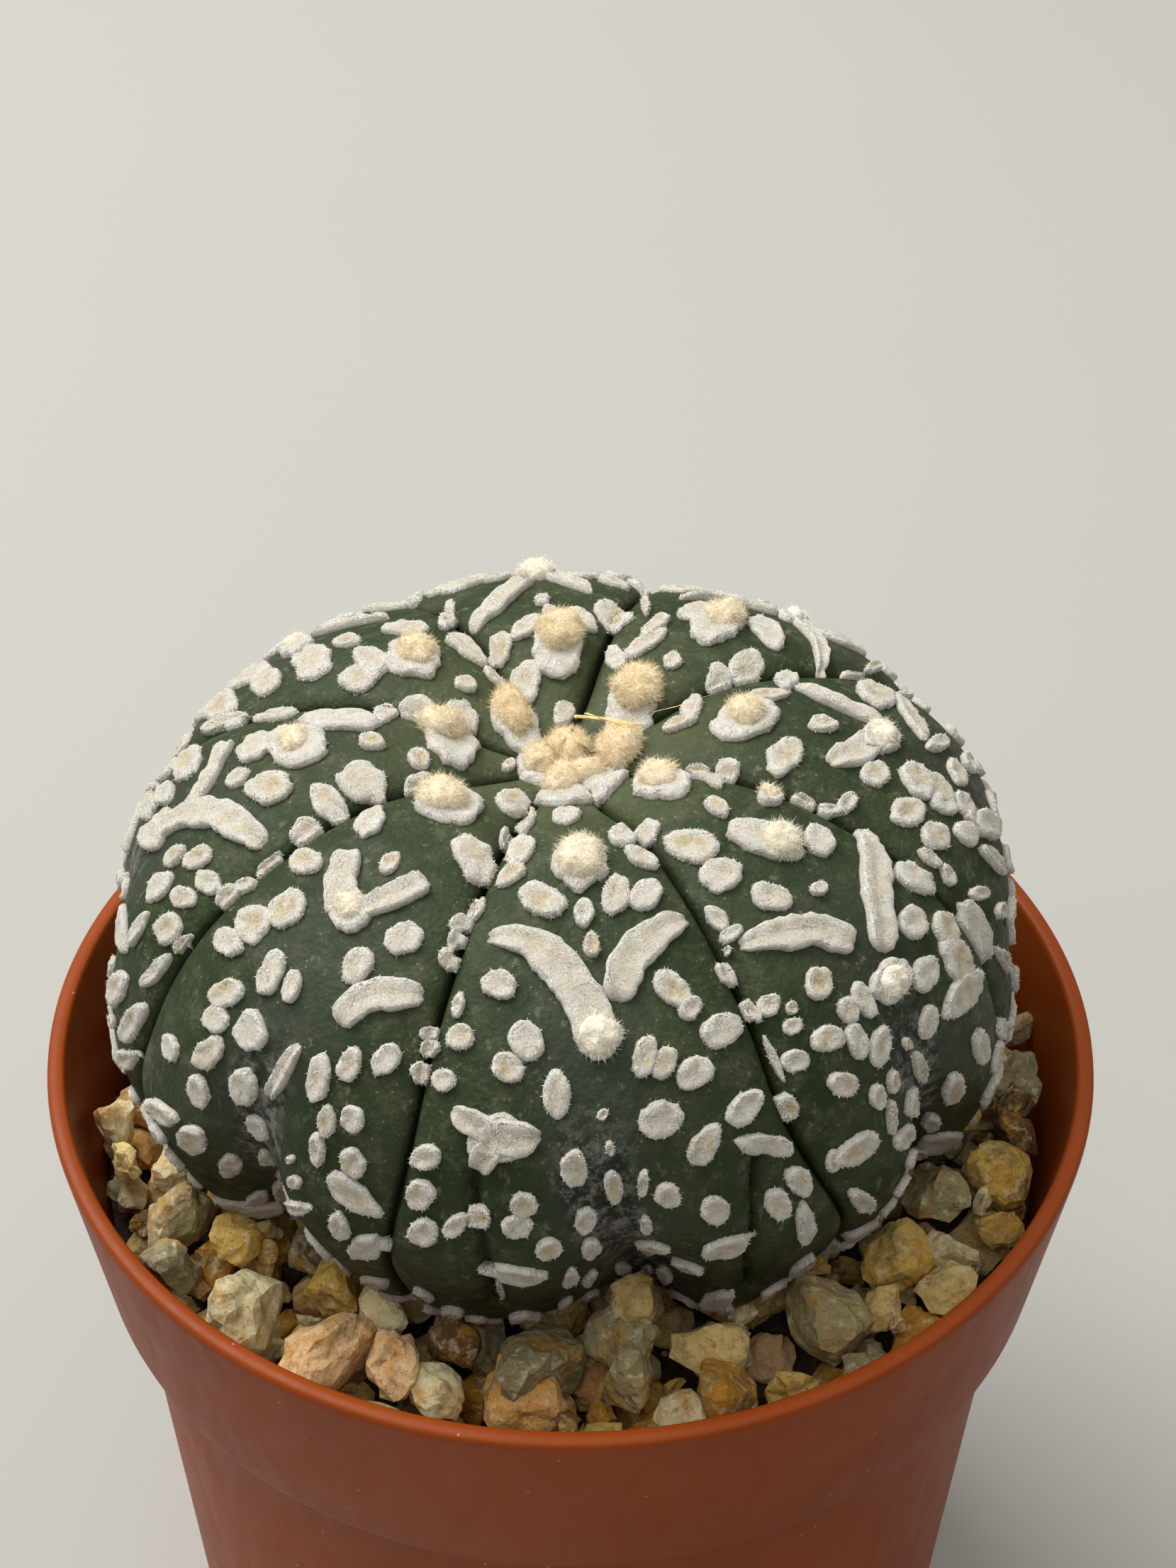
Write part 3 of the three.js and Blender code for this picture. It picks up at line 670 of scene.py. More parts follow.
print(len(flecks_far), "flecks round the far side")

# %% Flecks on the crown
flecks_crown = [
    (697, 1606, 58, 52, 20), (724, 1137, 50, 30, -15), (743, 1160, 40, 18, 50),
    (800, 1158, 36, 22, 0), (735, 1205, 50, 32, 50), (722, 1238, 48, 24, 35),
    (668, 1215, 80, 52, -50), (765, 1275, 70, 46, -15), (823, 1293, 36, 28, 90),
    (834, 1337, 34, 24, 90), (868, 1268, 56, 40, 80), (908, 1268, 52, 40, 50),
    (877, 1185, 40, 26, -20), (910, 1178, 48, 32, 50), (903, 1215, 52, 22, -25),
    (975, 1197, 72, 44, -5), (1018, 1237, 60, 44, 20), (1088, 1270, 58, 36, -20),
    (1012, 1145, 38, 22, -25), (1010, 1298, 46, 26, -40), (1030, 1320, 34, 22, 30),
    (1025, 1343, 16, 12, 60), (1153, 1190, 52, 36, -50), (1152, 1258, 24, 20, 0),
    (1133, 1133, 34, 16, -20), (1170, 1145, 36, 16, -20), (1192, 1137, 34, 26, 50),
]
print(len(flecks_crown), "flecks on the crown")

# %% Flecks high on the right
flecks_high_right = [
    (1192, 907, 70, 14, -18), (1110, 962, 32, 26, 0), (1200, 957, 36, 8, -5),
    (1235, 940, 20, 12, 0), (1232, 985, 60, 26, -25), (1160, 1028, 42, 20, -5),
    (1105, 1070, 60, 44, 40), (1230, 1097, 38, 32, 0), (1282, 1015, 100, 16, -55),
    (1318, 1055, 30, 20, 0), (1285, 980, 26, 10, 0), (1290, 1105, 60, 34, -50),
    (1318, 1115, 56, 26, -50), (1325, 1138, 40, 24, -40), (1345, 1095, 48, 18, -60),
    (1355, 1140, 40, 18, -55), (1360, 1080, 30, 10, -60), (1275, 1150, 50, 40, -10),
    (1315, 1183, 44, 34, -50), (1358, 1180, 44, 24, -55), (1370, 1165, 40, 12, -45),
    (1395, 1215, 60, 12, -50), (1307, 1213, 40, 14, -40), (1332, 1237, 34, 12, -60),
    (1288, 1240, 66, 36, -35), (1283, 1305, 46, 34, -60), (1330, 1310, 50, 34, -70),
    (1345, 1355, 70, 36, -65), (1375, 1262, 26, 18, 0), (1375, 1310, 105, 26, -65),
    (1405, 1285, 22, 12, 80), (1425, 1285, 40, 12, 80), (1410, 1355, 40, 10, -70),
    (1422, 1380, 40, 12, -70),
]
print(len(flecks_high_right), "flecks high on the right")

# %% [markdown]
# ## Felt arms and areoles
# From the outer areoles two arms of merged flecks run down and out, like a chevron. Each
# is read as a line of pixels with a width. An areole is a pad of white felt that carries
# a dome of cream wool.

# %% Arms
# Width in pixels, how wide each end is beside the middle, and the line.
seen_arms = [
    (56, 0.25, 1.0, [(681, 1324), (745, 1327), (800, 1372), (832, 1425), (848, 1478)]),
    (54, 0.3, 0.7, [(972, 1296), (915, 1325), (876, 1372), (868, 1418)]),
    (50, 0.3, 0.9, [(1036, 1337), (1100, 1318), (1150, 1314), (1205, 1336)]),
    (52, 0.5, 0.75, [(1212, 1166), (1230, 1205), (1230, 1260), (1242, 1348)]),
    (48, 0.6, 0.6, [(480, 1450), (505, 1416), (545, 1403), (602, 1405)]),
    (48, 0.7, 1.0, [(498, 1200), (482, 1250), (485, 1296)]),
    (38, 0.7, 0.8, [(500, 1292), (550, 1272), (607, 1245)]),
    (28, 0.7, 0.4, [(330, 1050), (300, 1105), (262, 1165)]),
    (48, 0.6, 0.6, [(225, 1185), (265, 1155), (310, 1150), (345, 1170), (378, 1195)]),
    (20, 0.5, 0.5, [(435, 905), (495, 888), (553, 877)]),
    (34, 0.9, 0.4, [(745, 826), (700, 860), (663, 897)]),
    (28, 0.8, 0.3, [(775, 820), (805, 830), (836, 843)]),
    (20, 0.4, 0.8, [(955, 850), (1020, 845), (1100, 868)]),
    (26, 0.8, 0.3, [(1117, 880), (1150, 910), (1160, 955)]),
    (30, 0.4, 0.7, [(1115, 972), (1180, 1000), (1245, 1030)]),
    (44, 0.5, 0.8, [(1165, 1082), (1205, 1066), (1240, 1045)]),
    (36, 0.3, 1.0, [(636, 1563), (672, 1583), (702, 1603)]),
    (48, 1.0, 0.1, [(690, 1605), (722, 1604), (770, 1601)]),
    (40, 0.3, 1.0, [(671, 1658), (682, 1636), (702, 1606)]),
    (26, 0.4, 0.5, [(386, 1550), (405, 1510), (428, 1470)]),
]
print(len(seen_arms), "arms")

# %% Areoles
# The pad: x, y, length, width, turn. The wool: x, y, length, width, turn, and its warmth,
# from 0 for the weathered white of old wool to 1 for the tan of new wool.
areoles = [
    ((817, 1225, 76, 66, 20), (817, 1221, 66, 56, 10, 0.3)),
    ((935, 1108, 76, 54, 10), (930, 1104, 66, 48, 15, 0.55)),
    ((1078, 1190, 100, 46, -22), (1100, 1194, 54, 46, -10, 0.2)),
    ((1250, 1383, 70, 52, 60), (1251, 1386, 48, 40, 60, 0.0)),
    ((1053, 1018, 96, 50, 18), (1051, 1014, 52, 46, 10, 0.6)),
    ((1239, 1045, 56, 44, -30), (1239, 1042, 44, 38, -30, 0.1)),
    ((1385, 1165, 44, 34, -60), None),
    ((890, 1003, 88, 66, 75), (901, 977, 60, 58, 70, 0.85)),
    ((1008, 890, 92, 48, 25), (1020, 880, 56, 46, 15, 0.5)),
    ((1117, 879, 44, 26, -10), (1122, 873, 32, 26, 0, 0.0)),
    ((788, 918, 76, 72, 30), (790, 902, 62, 56, 0, 0.75)),
    ((756, 816, 54, 30, 0), (757, 813, 54, 42, 0, 0.0)),
    ((728, 1024, 112, 60, -62), (719, 1006, 74, 52, -65, 0.95)),
    ((581, 933, 78, 52, 0), (588, 928, 56, 44, -10, 0.7)),
    ((420, 918, 50, 28, 20), (420, 915, 36, 26, 10, 0.1)),
    ((636, 1048, 84, 56, -35), (622, 1033, 66, 58, -40, 0.65)),
    ((420, 1056, 90, 52, 10), (418, 1052, 46, 38, 0, 0.45)),
    ((221, 1183, 42, 32, 50), None),
    ((637, 1141, 84, 54, -10), (626, 1136, 62, 56, 0, 0.5)),
    ((498, 1288, 62, 54, 30), (497, 1285, 42, 36, 30, 0.25)),
    ((847, 1466, 58, 62, 90), (846, 1464, 50, 52, 90, 0.0)),
    ((800, 1070, 60, 50, 0), (803, 1063, 64, 54, 0, 0.85)),
    ((862, 1100, 64, 40, 60), (877, 1063, 60, 58, 40, 0.9)),
    ((752, 1092, 64, 40, -40), (757, 1084, 56, 46, -30, 0.7)),
    ((795, 1128, 80, 26, 0), (793, 1111, 68, 48, 10, 0.75)),
    ((842, 1118, 40, 34, 0), (831, 1100, 46, 48, 0, 0.75)),
    ((1086, 1130, 34, 22, 0), (1084, 1124, 32, 26, 0, 0.6)),
]
print(len(areoles), "areoles")

# %% [markdown]
# ## Marks on the unseen side
# The far side isn't in the photograph. A seeded rule fills it with flecks of the same sizes,
# kept apart from each other and from all that is already placed. The far areoles follow the
# CAD model's distances from the crown, and the lower ones have their two arms.

# %% Gather the marks
# A mark here is (place, outward, along, half length, half width, thickness, tint).
rng = random.Random(7)
pad_thickness, wool_height = 1.25, 1.5 * MM
fleck_thickness = (0.85, 1.15)
flecks = [(*mark(*fleck), rng.uniform(*fleck_thickness), rng.random())
          for region in (flecks_low_left, flecks_low_right, flecks_high_left, flecks_far,
                         flecks_crown, flecks_high_right) for fleck in region]
seen_flecks = len(flecks)

pads, tufts = [], []
for pad, wool_read in areoles:
    pads.append((*mark(*pad), pad_thickness, 0.1 * rng.random()))
    if wool_read:
        x, y, long, wide, turn, warmth = wool_read
        place, normal, along, _, _ = mark(x, y, long, wide, turn)
        a_pixel = (camera_place - place).length / focal_pixels
        half_long, half_wide = long / 2 * a_pixel, wide / 2 * a_pixel
        tufts.append((place, normal, along, half_long, half_wide, half_wide / wool_height,
                      warmth))

# %% Far areoles and arms
placed = [(m[0], m[3]) for m in flecks + pads]
# Half length, half width and thickness of a far pad, and of its wool with its warmth.
far_pad, far_tuft = (1.7 * MM, 1.3 * MM, 1.3), (1.3 * MM, 1.1 * MM, 0.8, 0.1)
areole_spacing = 4.2 * MM
wool_until, arms_from = 34, 22
# The oldest areole of a rib, which only the far ribs show, by the rib's number.
oldest_spots = {2: 46, 3: 40, 4: 38, 5: 40, 6: 45}
# A far arm starts below its areole, runs down the rib and spreads towards a crease.
arm_start, arm_run, widest_spread, crease_margin = 1.5, 6.5, 15, 4
arm_shares, first_spread = (0, 0.35, 0.7, 1), 0.1
# A mark is read only where the skin turns this far to the camera and nothing hides it.
least_view, clear_of_skin = 0.12, 0.4 * MM
far_arms = []


def seen(place, normal):
    """Whether the photograph shows a place on the skin well enough to read marks off it."""
    view = (camera_place - place).normalized()
    blocked = even_tree.ray_cast(place + normal * clear_of_skin, view)[0] is not None
    return view.dot(normal) > least_view and not blocked


def skin_frame(arc, degrees):
    """Place, outward and down-rib directions at a point of the rules."""
    place = Vector(skin_place(arc, degrees, creased=False))
    below = Vector(skin_place(arc + 0.2, degrees, creased=False)) - place
    beside = Vector(skin_place(arc, degrees + 0.3, creased=False)) - place
    return place, below.cross(beside).normalized(), below.normalized()


for k, (line, crease, _, _, areole_spots) in enumerate(ribs):
    for spot in (*areole_spots, oldest_spots.get(k, 0)):
        place, normal, along = skin_frame(spot, line)
        near_placed = min((place - other).length for other, _ in placed) < areole_spacing
        if seen(place, normal) or near_placed:
            continue
        pads.append((place, normal, along, *far_pad, rng.random()))
        placed.append((place, far_pad[0]))
        if spot < wool_until:
            tufts.append((place, normal, along, *far_tuft))
        if spot > arms_from:
            for edge in (crease_before(k), crease):
                spread = math.copysign(min(abs(edge - line) - crease_margin, widest_spread),
                                       edge - line)
                far_arms.append([
                    (spot + arm_start + arm_run * t,
                     line + spread * (first_spread + (1 - first_spread) * t))
                    for t in arm_shares])
print(len(pads), "areoles,", len(far_arms), "far arms")

# %% [markdown]
# An arm is a flat strip laid along its line. Each of its corners keeps the middle of the
# strip beside it and how far it will rise from the skin, as each corner of a fleck does, so
# that one set of nodes can give both their wavy edge and lay both on the skin.

# %% Arm strips
# The felt's section from its edge to its middle: share of the half width, and rise in mm.
felt_section = [(0.98, -0.35), (1.03, 0.1), (0.99, 0.38), (0.84, 0.54), (0.5, 0.47), (0.0, 0.34)]
felt_foot = -0.35
station_gap, strip_tint = 0.45, 0.3
# An end is rounded over this share of the half width, and keeps at least this much of it.
end_reach, end_keeps, rises_sooner = 0.8, 0.02, 1.3
seen_arm_thickness, far_arm_thickness, far_arm_half_width = 1.15, 1.0, 1.0 * MM
strip_corners, strip_faces, strip_middles, strip_rises, strip_shares = [], [], [], [], []


def add_strip(path, half_width, thickness, first_end=0.5, last_end=0.8):
    """A strip along a path of (place, outward) stations, with narrower, rounded ends."""
    stations = []
    for (place, normal), (after, after_normal) in zip(path, path[1:]):
        pieces = max(2, round((after - place).length / (station_gap * MM)))
        stations.extend((place.lerp(after, t / pieces), normal.lerp(after_normal, t / pieces))
                        for t in range(pieces))
    stations.append(path[-1])
    centre = stations[:]
    for k in range(2, len(stations) - 2):
        near = centre[k - 2:k + 3]
        stations[k] = (sum((p for p, _ in near), Vector()) / 5, near[2][1])
    section = [(-s, h) for s, h in felt_section] + [(s, h) for s, h in felt_section[-2::-1]]
    start, total = len(strip_corners), len(stations) - 1
    for k, (place, normal) in enumerate(stations):
        ahead_place = stations[min(k + 1, total)][0] - stations[max(k - 1, 0)][0]
        side = normal.cross(ahead_place).normalized()
        end_distance = min(k, total - k) * station_gap * MM
        in_end = max(0, 1 - end_distance / (end_reach * half_width))
        rounding = math.sqrt(max(end_keeps, 1 - in_end ** 2))
        swell = 1 - abs(2 * k / total - 1) ** 2
        nearer_end = first_end if k < total / 2 else last_end
        rounding *= nearer_end + (1 - nearer_end) * swell
        for share, rise in section:
            strip_corners.append(place + side * half_width * share * rounding)
            strip_middles.append(place)
            strip_shares.append(abs(share))
            strip_rises.append(felt_foot + (rise - felt_foot)
                               * min(1, rounding * rises_sooner) * thickness)
    strip_faces.extend(walls(start, total + 1, len(section)))
    strip_faces.extend(caps(start, total + 1, len(section)))
    placed.extend((place, half_width) for place, _ in stations[::3])


for width, first_end, last_end, line_pixels in seen_arms:
    path = [skin_hit(x, y) for x, y in line_pixels]
    middle_place = path[len(path) // 2][0]
    half_width = width / 2 * (camera_place - middle_place).length / focal_pixels
    add_strip(path, half_width, seen_arm_thickness, first_end, last_end)
for line_places in far_arms:
    add_strip([skin_frame(arc, degrees)[:2] for arc, degrees in line_places],
              far_arm_half_width, far_arm_thickness)
strips = piece_from("strips", strip_corners, strip_faces)
note(strips, "middle", strip_middles, "FLOAT_VECTOR")
note(strips, "rise", strip_rises)
note(strips, "share", strip_shares)
note(strips, "tint", [strip_tint] * len(strip_corners))
print("strips", len(strip_faces), "faces")

# %% Fill the unseen side
attempts = 9000
widest_radius, crown_kept_free, foot_kept_free = 37, 6, 4
shortest_half, longest_half, narrowest, roundest = 0.75, 1.75, 0.5, 0.92
# Room to leave beside a crease and between flecks, which may come a little closer than that.
crease_share, crease_room, fleck_room, closeness = 0.8, 0.3 * MM, 0.5 * MM, 0.95
for _ in range(attempts):
    arc = rng.uniform(crown_kept_free, meridian_length - foot_kept_free)
    degrees = rng.uniform(0, 360)
    if rng.random() > radius_at(arc) / widest_radius:
        continue
    place, normal, along = skin_frame(arc, degrees)
    if seen(place, normal):
        continue
    half_long = rng.uniform(shortest_half, longest_half) * MM
    half_wide = half_long * rng.uniform(narrowest, roundest)
    _, u, half, _ = across_rib(np.array([degrees]))
    crease_gap = (1 - abs(u[0])) * half[0] * radius_at(arc) * MM
    if crease_gap < half_long * crease_share + crease_room:
        continue
    room = half_long + fleck_room
    if any((place - other).length < (room + size) * closeness for other, size in placed):
        continue
    turned = Matrix.Rotation(rng.uniform(0, math.pi), 3, normal)
    flecks.append((place, normal, turned @ along, half_long, half_wide,
                   rng.uniform(*fleck_thickness), rng.random()))
    placed.append((place, half_long))
print(len(flecks) - seen_flecks, "flecks on the unseen side,", len(flecks), "in all")

# %% [markdown]
# ## Laying the felt
# Geometry Nodes make the felt. A flat round fleck is set at every mark and stretched along
# it, the strips join in, noise makes the edges wavy, and every corner is then moved to the
# nearest place on the skin and lifted by its rise. The flecks so follow the rib they lie on.

# %% Fleck and dome shapes
# The wool's section, as the felt's: share of the half width, and rise in mm.
wool_section = [(0.96, -0.3), (1.08, 0.3), (1.09, 0.7), (1.02, 1.1), (0.86, 1.45), (0.62, 1.7),
                (0.32, 1.82), (0, 1.86)]
fleck_sides, wool_sides = 27, 28


def round_pad(name, section, sides):
    """A flat round of rings, whose corners know how far they will rise. It is closed below."""
    corners, rises, shares = [], [], []
    for share, rise in section[:-1]:
        corners.extend((share * math.cos(t), share * math.sin(t), 0) for t in circle(sides))
        rises.extend([rise] * sides)
        shares.extend([share] * sides)
    top, bottom = len(corners), len(corners) + 1
    faces = walls(0, len(section) - 1, sides)
    faces += [(a, b, top) for a, b in round_pairs(top - sides, sides)]
    faces += [(b, a, bottom) for a, b in round_pairs(0, sides)]
    made = piece_from(name, corners + [(0, 0, 0)] * 2, faces)
    note(made, "rise", rises + [section[-1][1], section[0][1]])
    note(made, "share", shares + [0, 1])
    return made


def mark_carrier(name, marks):
    """One loose point for each mark, which keeps the mark's axes, sizes, thickness and tint."""
    places, outwards, alongs, longs, wides, thicknesses, tints = zip(*marks)
    carrier = piece_from(name, places, [])
    sizes = [(long, wide, MM) for long, wide in zip(longs, wides)]
    for label, values in (("outward", outwards), ("along", alongs), ("size", sizes),
                          ("middle", places)):
        note(carrier, label, values, "FLOAT_VECTOR")
    note(carrier, "thickness", thicknesses)
    note(carrier, "tint", tints)
    return carrier


fleck_round = round_pad("fleck_round", felt_section, fleck_sides)
wool_round = round_pad("wool_round", wool_section, wool_sides)
smooth_normals = np.zeros(len(even_skin.data.vertices) * 3)
even_skin.data.vertices.foreach_get("normal", smooth_normals)
note(cactus_skin, "outward", smooth_normals, "FLOAT_VECTOR")
for shape in (fleck_round, wool_round):
    print(shape.name, len(shape.data.polygons), "faces")

# %% Words for shape trees


def stored(tree, name, kind="FLOAT"):
    """Reads a value that the points carry."""
    return node(tree, "GeometryNodeInputNamedAttribute", {"Name": name},
                data_type=kind).outputs["Attribute"]


def noise_around(tree, scale):
    """A noise centred on nought, at a scale given in waves for each millimetre."""
    made = node(tree, "ShaderNodeTexNoise", {"Scale": scale / MM, "Detail": 2.0},
                noise_dimensions="3D")
    return maths(tree, "SUBTRACT", made.outputs[0], 0.5)


def shape_of(tree, thing):
    """The geometry of another object."""
    return node(tree, "GeometryNodeObjectInfo", {"Object": thing}).outputs["Geometry"]


def turn_to(tree, up, along):
    """The turn that brings a shape's height to one direction and its length to another."""
    return node(tree, "FunctionNodeAxesToRotation", {"Primary Axis": up, "Secondary Axis": along},
                primary_axis="Z", secondary_axis="X").outputs[0]


def set_out(tree, points, shape, turned, size, picked=None):
    """Copies of a shape on points, as real geometry. The export drops what isn't real."""
    copies = node(tree, "GeometryNodeInstanceOnPoints", {
        "Points": points, "Instance": shape, "Rotation": turned, "Scale": size,
        **(picked or {})})
    return node(tree, "GeometryNodeRealizeInstances", {0: copies.outputs[0]}).outputs[0]


def moved(tree, geometry, **sockets):
    """Geometry whose points take a new Position, or an Offset from where they are."""
    return node(tree, "GeometryNodeSetPosition", {"Geometry": geometry, **sockets}).outputs[0]


def drawn_at_random(tree, kind, low, high, seed):
    """A seeded random vector, number or whole number for each point."""
    first, output = {"FLOAT_VECTOR": (0, 0), "FLOAT": (2, 1), "INT": (4, 2)}[kind]
    return node(tree, "FunctionNodeRandomValue", {first: low, first + 1: high, "Seed": seed},
                data_type=kind).outputs[output]


# %% Felt tree


def felt_tree():
    """Lays one shape at each mark, joins the strips in, and presses all of it to the skin."""
    tree, given = shape_tree("lay_felt", [
        ("Skin", "Object"), ("Shape", "Object"), ("Strips", "Object"), ("Waviness", "Float"),
        ("Unevenness", "Float"), ("Finish", "Material")])
    turned = turn_to(tree, stored(tree, "outward", "FLOAT_VECTOR"),
                     stored(tree, "along", "FLOAT_VECTOR"))
    real = set_out(tree, given["Geometry"], shape_of(tree, given["Shape"]), turned,
                   stored(tree, "size", "FLOAT_VECTOR"))
    real = node(tree, "GeometryNodeStoreNamedAttribute", {
        "Geometry": real, "Name": "rise",
        "Value": times(tree, stored(tree, "rise"), stored(tree, "thickness"))},
        data_type="FLOAT", domain="POINT").outputs[0]
    joined = node(tree, "GeometryNodeJoinGeometry", {0: shape_of(tree, given["Strips"])})
    tree.links.new(real, joined.inputs[0])
    place = node(tree, "GeometryNodeInputPosition").outputs[0]
    from_middle = vectors(tree, "SUBTRACT", place, stored(tree, "middle", "FLOAT_VECTOR"))
    waves = noise_around(tree, 0.42)
    for scale, strength in ((1.1, 0.4), (3.4, 0.3)):
        waves = maths(tree, "ADD", waves, times(tree, noise_around(tree, scale), strength))
    wavy = moved(tree, joined.outputs[0],
                 Offset=scaled(tree, from_middle, times(tree, waves, given["Waviness"])))
    skin = shape_of(tree, given["Skin"])

    def nearest_on_skin(value):
        """What a value is on the skin, at the nearest place to each point."""
        return node(tree, "GeometryNodeSampleNearestSurface", {
            "Mesh": skin, "Value": value, "Sample Position": place},
            data_type="FLOAT_VECTOR").outputs[0]

    bumps = times(tree, noise_around(tree, 1.1), given["Unevenness"])
    grows = eased(tree, stored(tree, "rise"), -0.1, 0.4)
    rise = maths(tree, "ADD", stored(tree, "rise"), times(tree, bumps, grows))
    lift = scaled(tree, nearest_on_skin(stored(tree, "outward", "FLOAT_VECTOR")),
                  times(tree, rise, MM))
    laid = moved(tree, wavy, Position=vectors(tree, "ADD", nearest_on_skin(place), lift))
    return handed_out(tree, laid, given["Finish"])


# %% [markdown]
# ## Finishes of the plant
# The skin is dark olive green with a grey bloom near the crown, tiny pale specks, and a
# corky grey-violet band low on each areole line; its creases are darkened, a painted shade.
# Felt and wool are nearly white and matt. The felt darkens a little where it meets the skin,
# a painted shade, and low on the plant felt and hairs grey, partly dust stain and partly
# painted shade. A finish is built up as a painter would: a ground of two shades, and then
# layers, each with its own share and shade.

# %% Words for finishes


def finish(name):
    """A new material with its node tree, its main shader and its object coordinates."""
    material = bpy.data.materials.new(name)
    material.use_nodes = True
    tree = material.node_tree
    shader = next(n for n in tree.nodes if n.type == "BSDF_PRINCIPLED")
    place = node(tree, "ShaderNodeTexCoord").outputs["Object"]
    return material, tree, shader, place


def carried(tree, name):
    """A value that the mesh carries."""
    return node(tree, "ShaderNodeAttribute", attribute_name=name).outputs["Fac"]


def srgb(red, green, blue):
    """A colour as it is read off a screen, 0 to 255, as the shader's own linear values."""
    levels = [v / 255 for v in (red, green, blue)]
    linear = [v / 12.92 if v <= 0.04045 else ((v + 0.055) / 1.055) ** 2.4 for v in levels]
    return (*linear, 1.0)


def mixed(tree, share, first, second):
    """Two colours mixed by a share."""
    return node(tree, "ShaderNodeMix", {0: share, 6: first, 7: second},
                data_type="RGBA").outputs[2]


def two_shades(tree, share, one, other):
    """Two shades, as they are read off a screen, mixed by a share."""
    return mixed(tree, share, srgb(*one), srgb(*other))


def layered(tree, colour, layers):
    """Lays shades over a colour one after another, each by its own share."""
    for share, shade in layers:
        colour = mixed(tree, share, colour, srgb(*shade))
    return colour


def noise(tree, place, scale, detail=4.0, roughness=0.55):
    """A noise texture's value, at a scale in waves for each millimetre."""
    return node(tree, "ShaderNodeTexNoise", {
        "Vector": place, "Scale": scale / MM, "Detail": detail,
        "Roughness": roughness}).outputs["Fac"]


def spots(tree, place, scale):
    """Distance to scattered points, at a scale in points for each millimetre."""
    return node(tree, "ShaderNodeTexVoronoi", {
        "Vector": place, "Scale": scale / MM}).outputs["Distance"]


def dots(tree, place, scale, size, share):
    """A share within a size of scattered points, and nought between them."""
    return times(tree, maths(tree, "LESS_THAN", spots(tree, place, scale), size), share)


def stretched(tree, place, upright):
    """Places whose patterns are drawn out upwards."""
    return node(tree, "ShaderNodeMapping", {"Vector": place, "Scale": (1, 1, upright)}).outputs[0]


def bumped(tree, shader, heights):
    """Chains bumps: each is (height, distance in millimetres, strength)."""
    normal = None
    for height, distance, strength in heights:
        sockets = {"Height": height, "Distance": distance * MM, "Strength": strength}
        if normal is not None:
            sockets["Normal"] = normal
        normal = node(tree, "ShaderNodeBump", sockets).outputs[0]
    tree.links.new(normal, shader.inputs["Normal"])


def print_nodes(*materials):
    """Says how many nodes each finish has."""
    for material in materials:
        print(material.name, "finish of", len(material.node_tree.nodes), "nodes")


# %% Skin finish
skin_finish, tree, shader, place = finish("cactus_skin")
from_crown, from_line, to_crease = (
    carried(tree, label) for label in ("from_crown", "from_line", "to_crease"))
ground = two_shades(tree, eased(tree, noise(tree, place, 0.14), 0.38, 0.64),
                    (38, 49, 27), (52, 61, 40))
bloom = eased(tree, noise(tree, place, 0.5, 8, 0.75), 0.46, 0.7, 0, 0.8)
grain = eased(tree, noise(tree, place, 3.0, 4, 0.7), 0.35, 0.65, 0, 0.45)
crown_share = eased(tree, from_crown, 18, 6, 0, 0.45)
band_edge = maths(tree, "ADD", from_line, times(tree, noise(tree, place, 0.3), 4.0))
dusky = times(tree, eased(tree, band_edge, 8.0, 3.8), eased(tree, from_crown, 20, 31, 0, 0.7))
colour = layered(tree, ground, [(bloom, (86, 88, 66)), (grain, (36, 49, 24)),
                                (crown_share, (86, 92, 64)), (dusky, (48, 55, 45))])
# The corky band, with paler scars in it.
band = times(tree, eased(tree, band_edge, 5.4, 3.4), eased(tree, from_crown, 31, 40, 0, 0.85))
scars = eased(tree, noise(tree, place, 0.8, 8.0, 0.8), 0.44, 0.6)
colour = mixed(tree, band, colour, two_shades(tree, scars, (30, 32, 30), (116, 117, 110)))
scratches = eased(tree, noise(tree, stretched(tree, place, 0.25), 1.0, 4, 0.6),
                  0.61, 0.72, 0, 0.5)
speck_size = eased(tree, noise(tree, place, 0.5), 0.35, 0.7, 0.03, 0.19)
# Painted shade: the creases are darkened towards near black.
crease_painted_shade = eased(tree, to_crease, 0.5, 0.05, 0, 0.7)
low_down = eased(tree, height_of(tree, place), 73 * MM, 65 * MM, 0, 0.5)
colour = layered(tree, colour, [
    (scratches, (106, 114, 85)), (dots(tree, place, 1.7, speck_size, 0.45), (125, 135, 101)),
    (crease_painted_shade, (18, 25, 10)), (low_down, (54, 51, 35))])
fill(tree, shader, {
    "Base Color": colour, "Specular IOR Level": 0.15,
    "Roughness": eased(tree, noise(tree, place, 0.9), 0.3, 0.7, 0.5, 0.68)})
bumped(tree, shader, [(noise(tree, place, 0.22, 3), 0.9, 0.3),
                      (noise(tree, place, 1.4, 5), 0.25, 0.5),
                      (spots(tree, place, 2.6), 0.12, 0.35)])
cactus_skin.data.materials.append(skin_finish)
print_nodes(skin_finish)

# %% Felt and wool finishes
# Low on the plant the felt and its hairs turn grey between these two heights: partly dust stain,
# partly painted shade.
stain_and_shade_starts, stain_and_shade_full = 79 * MM, 66 * MM
felt_finish, tree, shader, place = finish("felt")
creamy = times(tree, eased(tree, carried(tree, "share"), 0.9, 0.3),
               eased(tree, carried(tree, "tint"), 0.0, 1.0, 0.3, 0.95))
creamy = times(tree, creamy, eased(tree, noise(tree, place, 1.0, 3), 0.36, 0.6, 0.25, 1.0))
# Partly dust stain, partly painted shade: the felt greys low on the plant.
stain_and_painted_shade = eased(tree, height_of(tree, place), stain_and_shade_starts, stain_and_shade_full, 0, 0.85)
